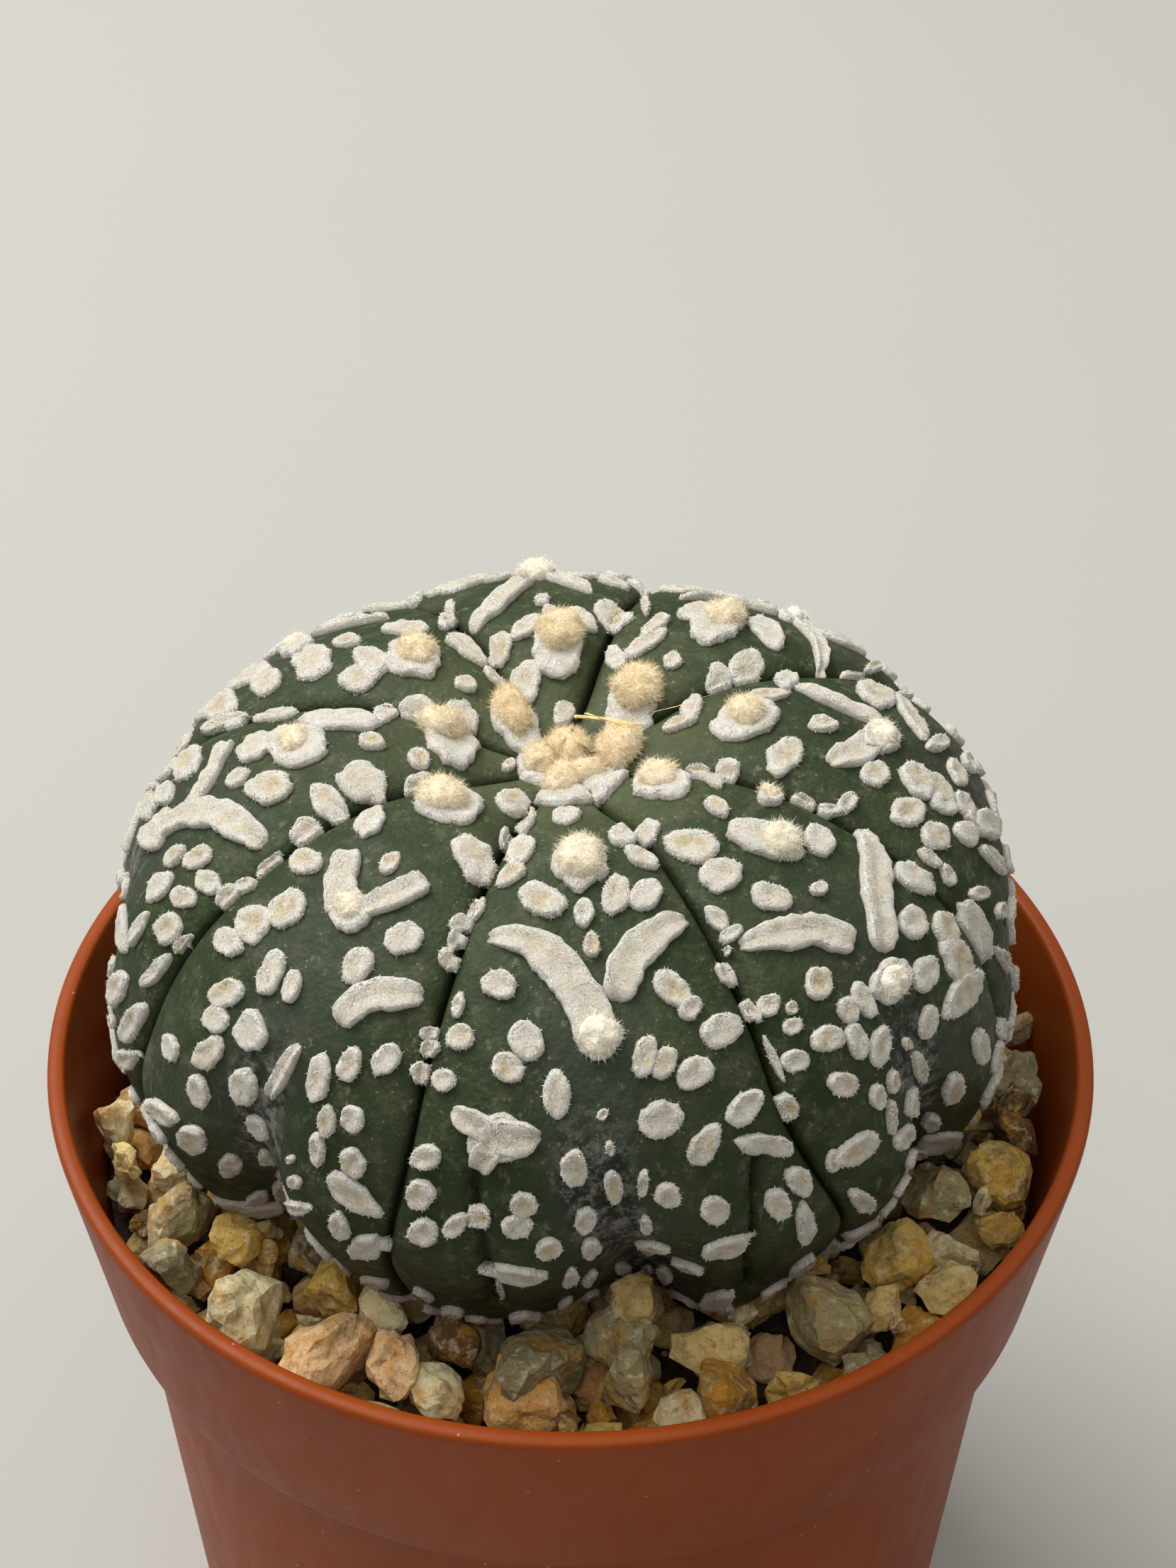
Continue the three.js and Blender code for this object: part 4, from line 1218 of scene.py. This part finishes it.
# Painted shade: the felt darkens at its foot, where it meets the skin.
foot_painted_shade = eased(tree, carried(tree, "rise"), 0.3, -0.05, 0, 0.55)
ground = two_shades(tree, eased(tree, noise(tree, place, 1.1, 4), 0.35, 0.65),
                    (245, 239, 223), (254, 252, 244))
colour = layered(tree, ground, [(creamy, (224, 204, 160)), (stain_and_painted_shade, (182, 166, 156)),
                                (foot_painted_shade, (170, 160, 130))])
fill(tree, shader, {"Base Color": colour, "Roughness": 0.95, "Specular IOR Level": 0.1,
                    "Sheen Weight": 0.3})
bumped(tree, shader, [(noise(tree, place, 1.3, 3), 0.5, 0.7),
                      (noise(tree, place, 4.0, 6, 0.8), 0.5, 1.0),
                      (spots(tree, place, 6.0), 0.12, 0.8)])

wool_finish, tree, shader, place = finish("wool")
strand = eased(tree, noise(tree, place, 1.2), 0.35, 0.65)
pale = two_shades(tree, strand, (230, 221, 198), (246, 240, 224))
warm = two_shades(tree, strand, (218, 192, 142), (236, 214, 170))
at_top = times(tree, carried(tree, "tint"),
               eased(tree, carried(tree, "share"), 1.05, 0.75, 0.35, 1.0))
fill(tree, shader, {"Base Color": mixed(tree, at_top, pale, warm), "Roughness": 0.95,
                    "Specular IOR Level": 0.1, "Sheen Weight": 0.2})
bumped(tree, shader, [(noise(tree, place, 1.6, 3), 0.6, 0.6),
                      (noise(tree, place, 6.0, 5, 0.7), 0.2, 0.9)])
print_nodes(felt_finish, wool_finish)

# %% Hair finishes
# A hair is far thinner than the felt's unevenness, so its finish has no bump of its own.


def hair_finish(name, pale_one, pale_other, warm_one, warm_other):
    """Nearly white, matt hair, which turns to the warm shades as its tint goes to 1."""
    made, tree, shader, place = finish(name)
    strand = eased(tree, noise(tree, place, 2.0), 0.35, 0.65)
    shade = mixed(tree, carried(tree, "tint"), two_shades(tree, strand, pale_one, pale_other),
                  two_shades(tree, strand, warm_one, warm_other))
    # Partly dust stain, partly painted shade: the hairs grey low on the plant.
    stain_and_painted_shade = eased(tree, height_of(tree, place), stain_and_shade_starts, stain_and_shade_full, 0, 0.8)
    fill(tree, shader, {"Base Color": layered(tree, shade, [(stain_and_painted_shade, (190, 174, 162))]),
                        "Roughness": 1.0, "Specular IOR Level": 0.0})
    return made


felt_hair_finish = hair_finish("felt_hair", (240, 236, 224), (252, 249, 241), (240, 230, 206),
                               (250, 243, 226))
wool_hair_finish = hair_finish("wool_hair", (234, 226, 206), (248, 243, 229), (224, 200, 152),
                               (242, 224, 186))
print_nodes(felt_hair_finish, wool_hair_finish)

# %% Lay flecks, pads and wool
lay_felt = felt_tree()
felt = grown("felt", mark_carrier("felt_marks", flecks + pads), lay_felt, {
    "Skin": cactus_skin, "Shape": fleck_round, "Strips": strips, "Waviness": 0.85,
    "Unevenness": 0.6, "Finish": felt_finish})
no_strips = piece_from("no_strips", [], [])
wool = grown("wool", mark_carrier("wool_marks", tufts), lay_felt, {
    "Skin": cactus_skin, "Shape": wool_round, "Strips": no_strips, "Waviness": 0.7,
    "Unevenness": 1.2, "Finish": wool_finish})

# %% [markdown]
# ## Loose hairs
# Felt and wool shed fine hairs, which soften every edge. A hair here is a thin bent spike of
# a few faces, scattered over the felt and turned out from it by Geometry Nodes. Real hair
# curves would be lost in the export, so each hair is a small closed mesh.

# %% Hair shape and tree
hair_bend = 0.12


def spike(name, girth):
    """A spike of three sides and a closed foot, one unit long, as thick as its girth says."""
    corners = [(girth, 0, 0), (-girth / 2, girth * 0.87, 0), (-girth / 2, -girth * 0.87, 0),
               (hair_bend, 0, 1)]
    return piece_from(name, corners, [(0, 1, 3), (1, 2, 3), (2, 0, 3), (2, 1, 0)])


def hair_tree():
    """Scatters spikes over a coat, more of them towards its edge, each with its own lean."""
    tree, given = shape_tree("shed_hairs", [
        ("Hair", "Object"), ("Hairs a square mm", "Float"), ("Length", "Float"),
        ("Spread", "Float"), ("Seed", "Int"), ("Starts at", "Float"), ("In the middle", "Float"),
        ("Finish", "Material")])
    density = maths(tree, "DIVIDE", given["Hairs a square mm"], MM * MM)
    above = eased(tree, stored(tree, "share"), given["Starts at"], 1.0, given["In the middle"],
                  1.0)
    above = times(tree, above, eased(tree, stored(tree, "rise"), -0.05, 0.1))
    above = times(tree, above, eased(tree, stored(tree, "tint"), 0.0, 0.6, 0.35, 1.0))
    scatter = node(tree, "GeometryNodeDistributePointsOnFaces", {
        "Mesh": given["Geometry"], "Density": times(tree, density, above),
        "Seed": given["Seed"]}, distribute_method="RANDOM")
    lean = drawn_at_random(tree, "FLOAT_VECTOR", (-1, -1, -1), (1, 1, 1), given["Seed"])
    leaning = vectors(tree, "ADD", scatter.outputs["Normal"],
                      scaled(tree, lean, given["Spread"]))
    length = drawn_at_random(tree, "FLOAT", times(tree, given["Length"], 0.5), given["Length"],
                             given["Seed"])
    real = set_out(tree, scatter.outputs["Points"], shape_of(tree, given["Hair"]),
                   turn_to(tree, leaning, lean), length)
    return handed_out(tree, real, given["Finish"])


long_hair, short_fuzz = spike("long_hair", 0.026), spike("short_fuzz", 0.13)
shed_hairs = hair_tree()
print(shed_hairs.name, "tree of", len(shed_hairs.nodes), "nodes")

# %% Hairs on felt and wool


def haired(name, coat, shape, coat_finish, density, length, spread, starts_at, in_middle):
    """A mesh of hairs over a coat of felt or wool. Density is in hairs a square millimetre."""
    return shaded(grown(name, in_scene(name + "_carrier", coat.data.copy()), shed_hairs, {
        "Hair": shape, "Hairs a square mm": density, "Length": length * MM, "Spread": spread,
        "Seed": 5, "Starts at": starts_at, "In the middle": in_middle,
        "Finish": coat_finish}), False)


felt_hairs = haired("felt_hairs", felt, short_fuzz, felt_hair_finish, density=17.5, length=0.25,
                    spread=1.1, starts_at=0.86, in_middle=0.02)
wool_hairs = haired("wool_hairs", wool, long_hair, wool_hair_finish, density=90, length=0.8,
                    spread=2.1, starts_at=0.6, in_middle=0.3)
for coat in (felt, wool, felt_hairs, wool_hairs):
    print(coat.name, len(coat.data.loop_triangles), "triangles")

# %% [markdown]
# ## Dried threads at the crown
# What is left of an old flower lies across the young wool: short straw-coloured strands and
# a fine thread that runs on from them. Each is a thin tube that rests on the wool and the rib
# beside it.

# %% Dried threads
# The line in pixels, how far each of its points rises from the skin, and the girth, in mm.
thread_lines = [
    ([(806, 1026), (822, 1032), (842, 1034), (866, 1034), (888, 1032), (907, 1027)],
     [1.3, 1.9, 2.1, 2.1, 2.0, 1.7], 0.13),
    ([(812, 1020), (838, 1030), (862, 1036), (884, 1036)], [1.6, 2.2, 2.3, 2.2], 0.1),
    ([(905, 1028), (930, 1018), (958, 1006), (985, 996), (1004, 985)],
     [1.6, 0.9, 0.6, 0.6, 0.3], 0.03)]
thread_sides, thread_end = 6, 0.35
thread_corners, thread_faces = [], []
for line_pixels, rises, girth in thread_lines:
    knots = []
    for (x, y), rise in zip(line_pixels, rises):
        place, normal = skin_hit(x, y)
        knots.append(place + normal * rise * MM)
    start, last = len(thread_corners), len(knots) - 1
    for k, knot in enumerate(knots):
        along = (knots[min(k + 1, last)] - knots[max(k - 1, 0)]).normalized()
        side = along.orthogonal().normalized()
        thickness = girth * (thread_end if k in (0, last) else 1.0) * MM
        thread_corners.extend(
            knot + thickness * (side * math.cos(t) + along.cross(side) * math.sin(t))
            for t in circle(thread_sides))
    thread_faces += walls(start, len(knots), thread_sides)
    thread_faces += caps(start, len(knots), thread_sides)
dried_threads = shaded(piece_from("dried_threads", thread_corners, thread_faces), False)
print(len(thread_lines), "threads of", len(thread_faces), "faces")

# %% Thread finish
thread_finish, tree, shader, place = finish("dried_thread")
straw = two_shades(tree, eased(tree, noise(tree, place, 1.5), 0.4, 0.6), (238, 220, 156),
                   (204, 184, 124))
fill(tree, shader, {"Base Color": straw, "Roughness": 0.6})
bumped(tree, shader, [(noise(tree, place, 3.0), 0.1, 0.5)])
dried_threads.data.materials.append(thread_finish)
print_nodes(thread_finish)

# %% [markdown]
# ## The top dressing
# Broken quartz and granite, mostly two to eight millimetres across, lies round the plant in a
# few layers. Each stone is one of 22 chipped shapes, set and turned by Geometry Nodes. The
# stones that stand out in the photograph come first, at their own places. The rest are
# dropped one by one where there is room between plant and pot.

# %% Stone shapes
# A ball's points are drawn in to a dozen or so flat breaks, with softened edges between.
stone_kinds = 22
stone_shapes = bpy.data.collections.new("stone_shapes")
stone_rng = random.Random(11)


def broken_stone(name):
    """A chipped stone of about one unit's radius."""
    ball = bmesh.new()
    bmesh.ops.create_icosphere(ball, subdivisions=3, radius=1)
    breaks = []
    for _ in range(stone_rng.randint(9, 14)):
        facing_out = Vector([stone_rng.gauss(0, 1) for _ in range(3)]).normalized()
        breaks.append((facing_out, stone_rng.uniform(0.5, 0.82)))
    stretch = [stone_rng.uniform(*limits) for limits in ((0.95, 1.3), (0.75, 1.05), (0.6, 0.9))]
    for point in ball.verts:
        out = point.co.normalized()
        reach = 1.0
        for facing_out, distance in breaks:
            slope = out.dot(facing_out)
            if slope > 0.05:
                reach = min(reach, distance / slope)
        reach *= 1 + stone_rng.uniform(-0.012, 0.012)
        point.co = Vector([out[i] * reach * stretch[i] for i in range(3)])
    bmesh.ops.recalc_face_normals(ball, faces=ball.faces)
    mesh = bpy.data.meshes.new(name)
    ball.to_mesh(mesh)
    ball.free()
    stone_shapes.objects.link(bpy.data.objects.new(name, mesh))


for k in range(stone_kinds):
    broken_stone(f"stone_shape_{k}")

# %% Stones that stand out
# Their place in pixels, radius in millimetres and kind. The two that stand up in the notch
# under the front rib also say how far they are raised.
golden, tan, cream, olive, orange, grey, ochre, peach, brown = (
    0.05, 0.2, 0.35, 0.48, 0.6, 0.7, 0.8, 0.9, 0.97)
seen_stones = [
    (163, 1587, 2.1, cream), (180, 1647, 2.1, tan), (250, 1717, 2.9, olive),
    (330, 1750, 2.1, golden), (250, 1792, 2.4, grey), (342, 1842, 3.4, cream),
    (475, 1817, 2.7, golden), (430, 1770, 1.9, grey), (450, 1925, 3.4, peach),
    (542, 1858, 2.4, cream), (558, 1930, 2.7, peach), (633, 1892, 2.1, brown),
    (617, 1967, 2.4, cream), (758, 1925, 4.0, grey), (733, 1980, 3.1, orange),
    (893, 1836, 2.3, tan, 4.0), (885, 1885, 2.6, olive, 1.5), (892, 1945, 2.7, olive),
    (1000, 1908, 2.9, tan), (1025, 1958, 2.9, ochre), (1158, 1858, 4.0, olive),
    (1258, 1775, 2.9, golden), (1317, 1683, 2.9, olive), (1408, 1650, 2.7, golden),
    (1442, 1600, 2.7, brown), (1458, 1525, 2.9, grey), (1425, 1558, 2.1, brown),
    (1333, 1817, 2.4, tan), (1450, 1375, 1.5, brown), (1458, 1450, 1.7, olive),
]
pot_inside, stone_height, shape_reach = 39.8, 67.6, 0.8
# How far a stone's middle keeps from the pot, from other stones and from the plant, each as
# a share of its size.
from_pot, from_stones, from_plant, seen_from_plant = 0.85, 0.7, 0.6, 0.7
stone_places, stone_sizes, stone_tints = np.zeros((0, 3)), np.zeros(0), []


def lay_stone(spot, size):
    """Keeps a stone's place and size, so that the next ones stay clear of it."""
    global stone_places, stone_sizes
    stone_places = np.vstack([stone_places, spot])
    stone_sizes = np.append(stone_sizes, size)


def plant_gap(spot):
    """How far a spot is outside the plant, in metres, and the plant's outward direction."""
    found, normal, _, _ = even_tree.find_nearest(Vector(spot) * MM)
    return (Vector(spot) * MM - found).dot(normal), normal


for x, y, radius, kind, *raised in seen_stones:
    ray = ray_through(x, y)
    height = (stone_height + sum(raised)) * MM
    spot = np.array(camera_place + ray * ((height - camera_place.z) / ray.z)) / MM
    size = radius / shape_reach
    spot[:2] *= min(1, (pot_inside - size * from_pot) / math.hypot(spot[0], spot[1]))
    gap, normal = plant_gap(spot)
    spot[:2] += np.array(normal)[:2] * max(0, seen_from_plant * size - gap / MM)
    lay_stone(spot, size)
    stone_tints.append(kind)
print(len(seen_stones), "stones that stand out")

# %% Drop the stones
# Each layer: how many to try for, the radii, and the highest that a stone's middle may lie.
stone_layers = [(150, 2.7, 4.7, 67.0), (110, 1.9, 3.3, 67.8), (130, 1.0, 1.9, 68.6)]
deepest_stone, nearest_axis, lifted_by, tries_a_stone, mostly_small = 61.5, 18, 0.35, 9, 1.4
for wanted, smallest, largest, highest in stone_layers:
    dropped = 0
    for _ in range(wanted * tries_a_stone):
        if dropped == wanted:
            break
        size = smallest + (largest - smallest) * stone_rng.random() ** mostly_small
        angle = stone_rng.uniform(0, 2 * math.pi)
        radius = math.sqrt(stone_rng.uniform(nearest_axis ** 2,
                                             (pot_inside - size * from_pot) ** 2))
        spot = np.array([radius * math.cos(angle), radius * math.sin(angle), deepest_stone])
        while spot[2] < highest:
            apart = np.linalg.norm(stone_places - spot, axis=1)
            if (apart - from_stones * (stone_sizes + size)).min() > 0:
                break
            spot[2] += lifted_by
        else:
            continue
        if plant_gap(spot)[0] >= from_plant * size * MM:
            lay_stone(spot, size)
            dropped += 1
    print(dropped, "stones of", smallest, "to", largest, "mm radius")

# %% Stone finish
# A stone's tint picks its kind on a ramp of nine even shades: where each starts, and the shade.
stone_colours = [(0.0, (230, 192, 96)), (0.14, (246, 216, 142)), (0.28, (254, 236, 184)),
                 (0.42, (180, 166, 120)), (0.54, (244, 184, 106)), (0.66, (158, 148, 112)),
                 (0.76, (200, 144, 44)), (0.84, (254, 206, 150)), (0.94, (116, 80, 38))]
stone_finish, tree, shader, place = finish("grit")
kinds = node(tree, "ShaderNodeValToRGB", {"Fac": carried(tree, "tint")})
kinds.color_ramp.interpolation = "CONSTANT"
while len(kinds.color_ramp.elements) < len(stone_colours):
    kinds.color_ramp.elements.new(0.5)
for element, (start, shade) in zip(kinds.color_ramp.elements, stone_colours):
    element.position = start
    element.color = srgb(*shade)


def patches(shift, scale, detail, roughness, low, high):
    """Soft patches on the stones, shifted so that two kinds of patch don't fall together."""
    moved_place = vectors(tree, "ADD", place, shift)
    return eased(tree, noise(tree, moved_place, scale, detail, roughness), low, high)


stain = patches((0, 0, 0), 0.32, 5, 0.65, 0.5, 0.66)
rust = patches((0.05, 0.02, 0), 0.4, 6, 0.7, 0.58, 0.7)
glassy = patches((0, 0.05, 0.03), 0.38, 5, 0.6, 0.52, 0.64)
milky = patches((0, 0, 0), 1.1, 5, 0.65, 0.52, 0.7)
colour = layered(tree, kinds.outputs[0], [
    (times(tree, stain, 0.65), (216, 156, 34)), (times(tree, rust, 0.65), (120, 62, 16)),
    (times(tree, glassy, 0.5), (158, 148, 108)), (times(tree, milky, 0.7), (252, 238, 200)),
    (dots(tree, place, 2.0, 0.15, 0.5), (58, 46, 30))])
fill(tree, shader, {
    "Base Color": colour, "Roughness": maths(tree, "SUBTRACT", 0.62, times(tree, glassy, 0.36)),
    "Subsurface Weight": 0.3, "Subsurface Scale": 0.9 * MM,
    "Subsurface Radius": (1.0, 0.7, 0.35)})
bumped(tree, shader, [(noise(tree, place, 0.6, 6, 0.7), 1.2, 0.8),
                      (spots(tree, place, 1.1), 0.6, 0.7),
                      (noise(tree, place, 3.5, 5, 0.75), 0.25, 0.8)])
print_nodes(stone_finish)

# %% Grit tree
# Two noises push the points of every stone: waves a millimetre, and how far in millimetres.
stone_pushes = [(0.3, 1.3), (0.85, 1.1)]


def grit_tree():
    """Sets a stone shape on every point, turned at random, and wears it by two noises."""
    tree, given = shape_tree("lay_grit", [("Shapes", "Collection"), ("Seed", "Int"),
                                          ("Finish", "Material")])
    shapes = node(tree, "GeometryNodeCollectionInfo", {
        "Collection": given["Shapes"], "Separate Children": True, "Reset Children": True})
    turn = drawn_at_random(tree, "FLOAT_VECTOR", (0, 0, 0), (2 * math.pi,) * 3, given["Seed"])
    turned = node(tree, "FunctionNodeEulerToRotation", {0: turn}).outputs[0]
    pick = drawn_at_random(tree, "INT", 0, stone_kinds - 1, given["Seed"])
    worn = set_out(tree, given["Geometry"], shapes.outputs[0], turned, stored(tree, "size"),
                   {"Pick Instance": True, "Instance Index": pick})
    for scale, reach in stone_pushes:
        push = node(tree, "ShaderNodeTexNoise", {"Scale": scale / MM, "Detail": 1.0},
                    noise_dimensions="3D").outputs[1]
        push = vectors(tree, "SUBTRACT", push, (0.5, 0.5, 0.5))
        worn = moved(tree, worn, Offset=scaled(tree, push, reach * MM))
    return handed_out(tree, worn, given["Finish"])


stone_points = piece_from("stone_points", stone_places * MM, [])
note(stone_points, "size", stone_sizes * MM)
stone_tints += [stone_rng.random() for _ in stone_sizes[len(stone_tints):]]
note(stone_points, "tint", stone_tints)
grit = shaded(grown("grit", stone_points, grit_tree(), {
    "Shapes": stone_shapes, "Seed": 3, "Finish": stone_finish}), False)

# %% [markdown]
# ## The pot
# An injection-moulded pot is a turned shape, so its outline is spun round the axis. The
# outline follows the CAD solid, with the edges rounded as a mould rounds them. Six drain
# holes go through the floor.

# %% Pot mesh
# Radius and height in millimetres, from the axis under the floor, up outside and down inside.
pot_outline = [
    (0, 1.6), (29.6, 1.6), (30.05, 1.35), (30.1, 0.3), (30.4, 0), (33.9, 0), (34.3, 0.25),
    (34.42, 0.6), (37.72, 54.4), (37.85, 55.0), (38.3, 55.6), (39.6, 56.7), (40.0, 57.1),
    (40.14, 57.6), (42.42, 73.9), (42.47, 74.4), (42.4, 74.8), (42.15, 75), (41.3, 75),
    (41.1, 74.85), (41.0, 74.5), (38.72, 58.0), (38.5, 57.5), (36.6, 55.7), (36.38, 55.2),
    (33.15, 3.6), (32.95, 3.15), (32.6, 3.05), (0, 3.05),
]
pot_sides, longest_step = 256, 6


def spun(name, outline, sides):
    """A closed turned piece from an outline that starts and ends on the axis."""
    corners = [(0, 0, outline[0][1] * MM)]
    corners += [(radius * math.cos(t) * MM, radius * math.sin(t) * MM, height * MM)
                for radius, height in outline[1:-1] for t in circle(sides)]
    top = len(corners)
    faces = [(0, b, a) for a, b in round_pairs(1, sides)]
    faces += walls(1, len(outline) - 2, sides)
    faces += [(a, b, top) for a, b in round_pairs(top - sides, sides)]
    return piece_from(name, corners + [(0, 0, outline[-1][1] * MM)], faces)


def divided(outline, longest):
    """The outline with its long runs divided, so that no face is long and thin."""
    made = [outline[0]]
    for (r0, z0), (r1, z1) in zip(outline, outline[1:]):
        pieces = max(1, round(math.hypot(r1 - r0, z1 - z0) / longest))
        made.extend((r0 + (r1 - r0) * t / pieces, z0 + (z1 - z0) * t / pieces)
                    for t in range(1, pieces + 1))
    return made


pot = spun("pot_moulded", divided(pot_outline, longest_step), pot_sides)
print("pot", len(pot.data.polygons), "faces before its holes")

# %% [markdown]
# The holes are cut with a Boolean. It can leave corners that lie on each other and faces with
# very many sides, so the mesh is cleaned afterwards.

# %% Drain holes
drain_holes, drain_circle, drain_radius, drill_length, floor_middle = 6, 20, 3.2, 8, 2.3
doubles_within = 0.02 * MM
drill = bmesh.new()
for k in range(drain_holes):
    turned = math.radians(360 / drain_holes * k)
    where = Matrix.Translation(Vector((drain_circle * math.cos(turned),
                                       drain_circle * math.sin(turned), floor_middle)) * MM)
    bmesh.ops.create_cone(drill, cap_ends=True, segments=40, radius1=drain_radius * MM,
                          radius2=drain_radius * MM, depth=drill_length * MM, matrix=where)
drill_mesh = bpy.data.meshes.new("drill")
drill.to_mesh(drill_mesh)
drill.free()
drill_piece = in_scene("drill", drill_mesh)
cutter = pot.modifiers.new("drain holes", "BOOLEAN")
cutter.object, cutter.operation, cutter.solver = drill_piece, "DIFFERENCE", "EXACT"
drilled = as_mesh(pot, "pot_moulded")
pot.modifiers.clear()
pot.data = drilled
bpy.data.objects.remove(drill_piece)
cleaned = bmesh.new()
cleaned.from_mesh(drilled)
bmesh.ops.remove_doubles(cleaned, verts=cleaned.verts, dist=doubles_within)
bmesh.ops.dissolve_degenerate(cleaned, dist=doubles_within, edges=cleaned.edges)
bmesh.ops.triangulate(cleaned, faces=[face for face in cleaned.faces if len(face.verts) > 4])
cleaned.to_mesh(drilled)
cleaned.free()
shaded(pot, True)
print("pot", len(pot.data.polygons), "faces")

# %% Pot finish
# The plastic is one shade that wanders a little, with faint drawn-out rubs and specks of dust.
pot_finish, tree, shader, place = finish("pot_plastic")
upright = stretched(tree, place, 0.4)
ground = two_shades(tree, eased(tree, noise(tree, place, 0.06), 0.35, 0.65), (126, 54, 10),
                    (132, 58, 13))
rubs = eased(tree, noise(tree, upright, 0.35, 5, 0.7), 0.52, 0.8, 0, 0.08)
colour = layered(tree, ground, [(rubs, (150, 84, 42)),
                                (dots(tree, place, 0.4, 0.05, 0.5), (196, 150, 112))])
fill(tree, shader, {
    "Base Color": colour, "Specular IOR Level": 0.15,
    "Roughness": eased(tree, noise(tree, upright, 0.5), 0.3, 0.7, 0.42, 0.5)})
bumped(tree, shader, [(noise(tree, place, 0.1, 2), 0.25, 0.04),
                      (noise(tree, place, 4.0, 4), 0.05, 0.25)])
pot.data.materials.clear()
pot.data.materials.append(pot_finish)
print_nodes(pot_finish)

# %% Soil finish
# The soil stays the CAD's own solid, and only takes a better finish: crumbs and pale flakes.
soil_finish, tree, shader, place = finish("potting_mix")
ground = two_shades(tree, eased(tree, noise(tree, place, 0.8, 6, 0.7), 0.35, 0.7), (30, 22, 15),
                    (74, 56, 38))
colour = layered(tree, ground, [(dots(tree, place, 0.5, 0.14, 1.0), (188, 178, 158))])
fill(tree, shader, {"Base Color": colour, "Roughness": 0.95})
bumped(tree, shader, [(noise(tree, place, 0.5, 6, 0.7), 1.2, 0.8)])
for slot in frame["nodes"]["soil"].material_slots:
    slot.material = soil_finish
print_nodes(soil_finish)

# %% [markdown]
# ## Floor and light
# A plain pale floor and soft studio light, brighter from the upper left, as in the photograph.
# The colours are shown as they are, without a film look, so that they can be compared.

# %% Floor
floor_half = 3
floor = piece_from("floor", [(x * floor_half, y * floor_half, 0)
                             for x, y in ((-1, -1), (1, -1), (1, 1), (-1, 1))], [(0, 1, 2, 3)])
floor_finish, tree, shader, place = finish("floor")
fill(tree, shader, {"Roughness": 0.9, "Base Color": two_shades(
    tree, noise(tree, place, 0.004), (158, 157, 153), (162, 161, 157))})
floor.data.materials.append(floor_finish)
print("floor", 2 * floor_half, "m wide")

# %% Light
plant_heart = Vector((0, 0, 0.08))


def soft_lamp(name, place, size, power, shade):
    """A large square lamp that faces the plant."""
    lamp_data = bpy.data.lights.new(name, "AREA")
    lamp_data.size, lamp_data.energy, lamp_data.color = size, power, shade
    lamp = in_scene(name, lamp_data)
    lamp.location = place
    lamp.rotation_euler = (plant_heart - Vector(place)).to_track_quat("-Z", "Y").to_euler()
    print(name, "lamp of", power, "W")


soft_lamp("window", (-0.5, 0.35, 1.0), size=0.7, power=16, shade=(1, 0.985, 0.955))
soft_lamp("room", (-0.25, -0.5, 1.15), size=0.8, power=2.8, shade=(1, 0.975, 0.94))

# %% [markdown]
# The rest of the light comes from all round, and more of it from above than from the sides,
# as in a room with pale walls.

# %% Sky
world = bpy.data.worlds.new("soft_room")
world.use_nodes = True
sky = world.node_tree
upward = height_of(sky, node(sky, "ShaderNodeTexCoord").outputs["Generated"])
fill(sky, sky.nodes["Background"], {
    "Strength": eased(sky, upward, 0.0, 0.9, 0.05, 0.95), "Color": (1, 0.98, 0.94, 1)})
bpy.context.scene.world = world
bpy.context.scene.view_settings.view_transform = "Standard"
print("light from all round:", world.name)

# %% [markdown]
# ## Clearing up
# The helper shapes go, each piece rides on the model's one body, and the CAD solid that it
# stands for is hidden.

# %% Clear up and attach
for helper in (even_skin, fleck_round, wool_round, strips, no_strips, long_hair, short_fuzz,
               *stone_shapes.objects):
    bpy.data.objects.remove(helper)
bpy.data.collections.remove(stone_shapes)
for solid, pieces in (
        ("cactus", (cactus_skin, felt, wool, felt_hairs, wool_hairs, dried_threads)),
        ("gravel", (grit,)), ("pot", (pot,))):
    for piece in pieces:
        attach(piece, "root")
        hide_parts(solid)
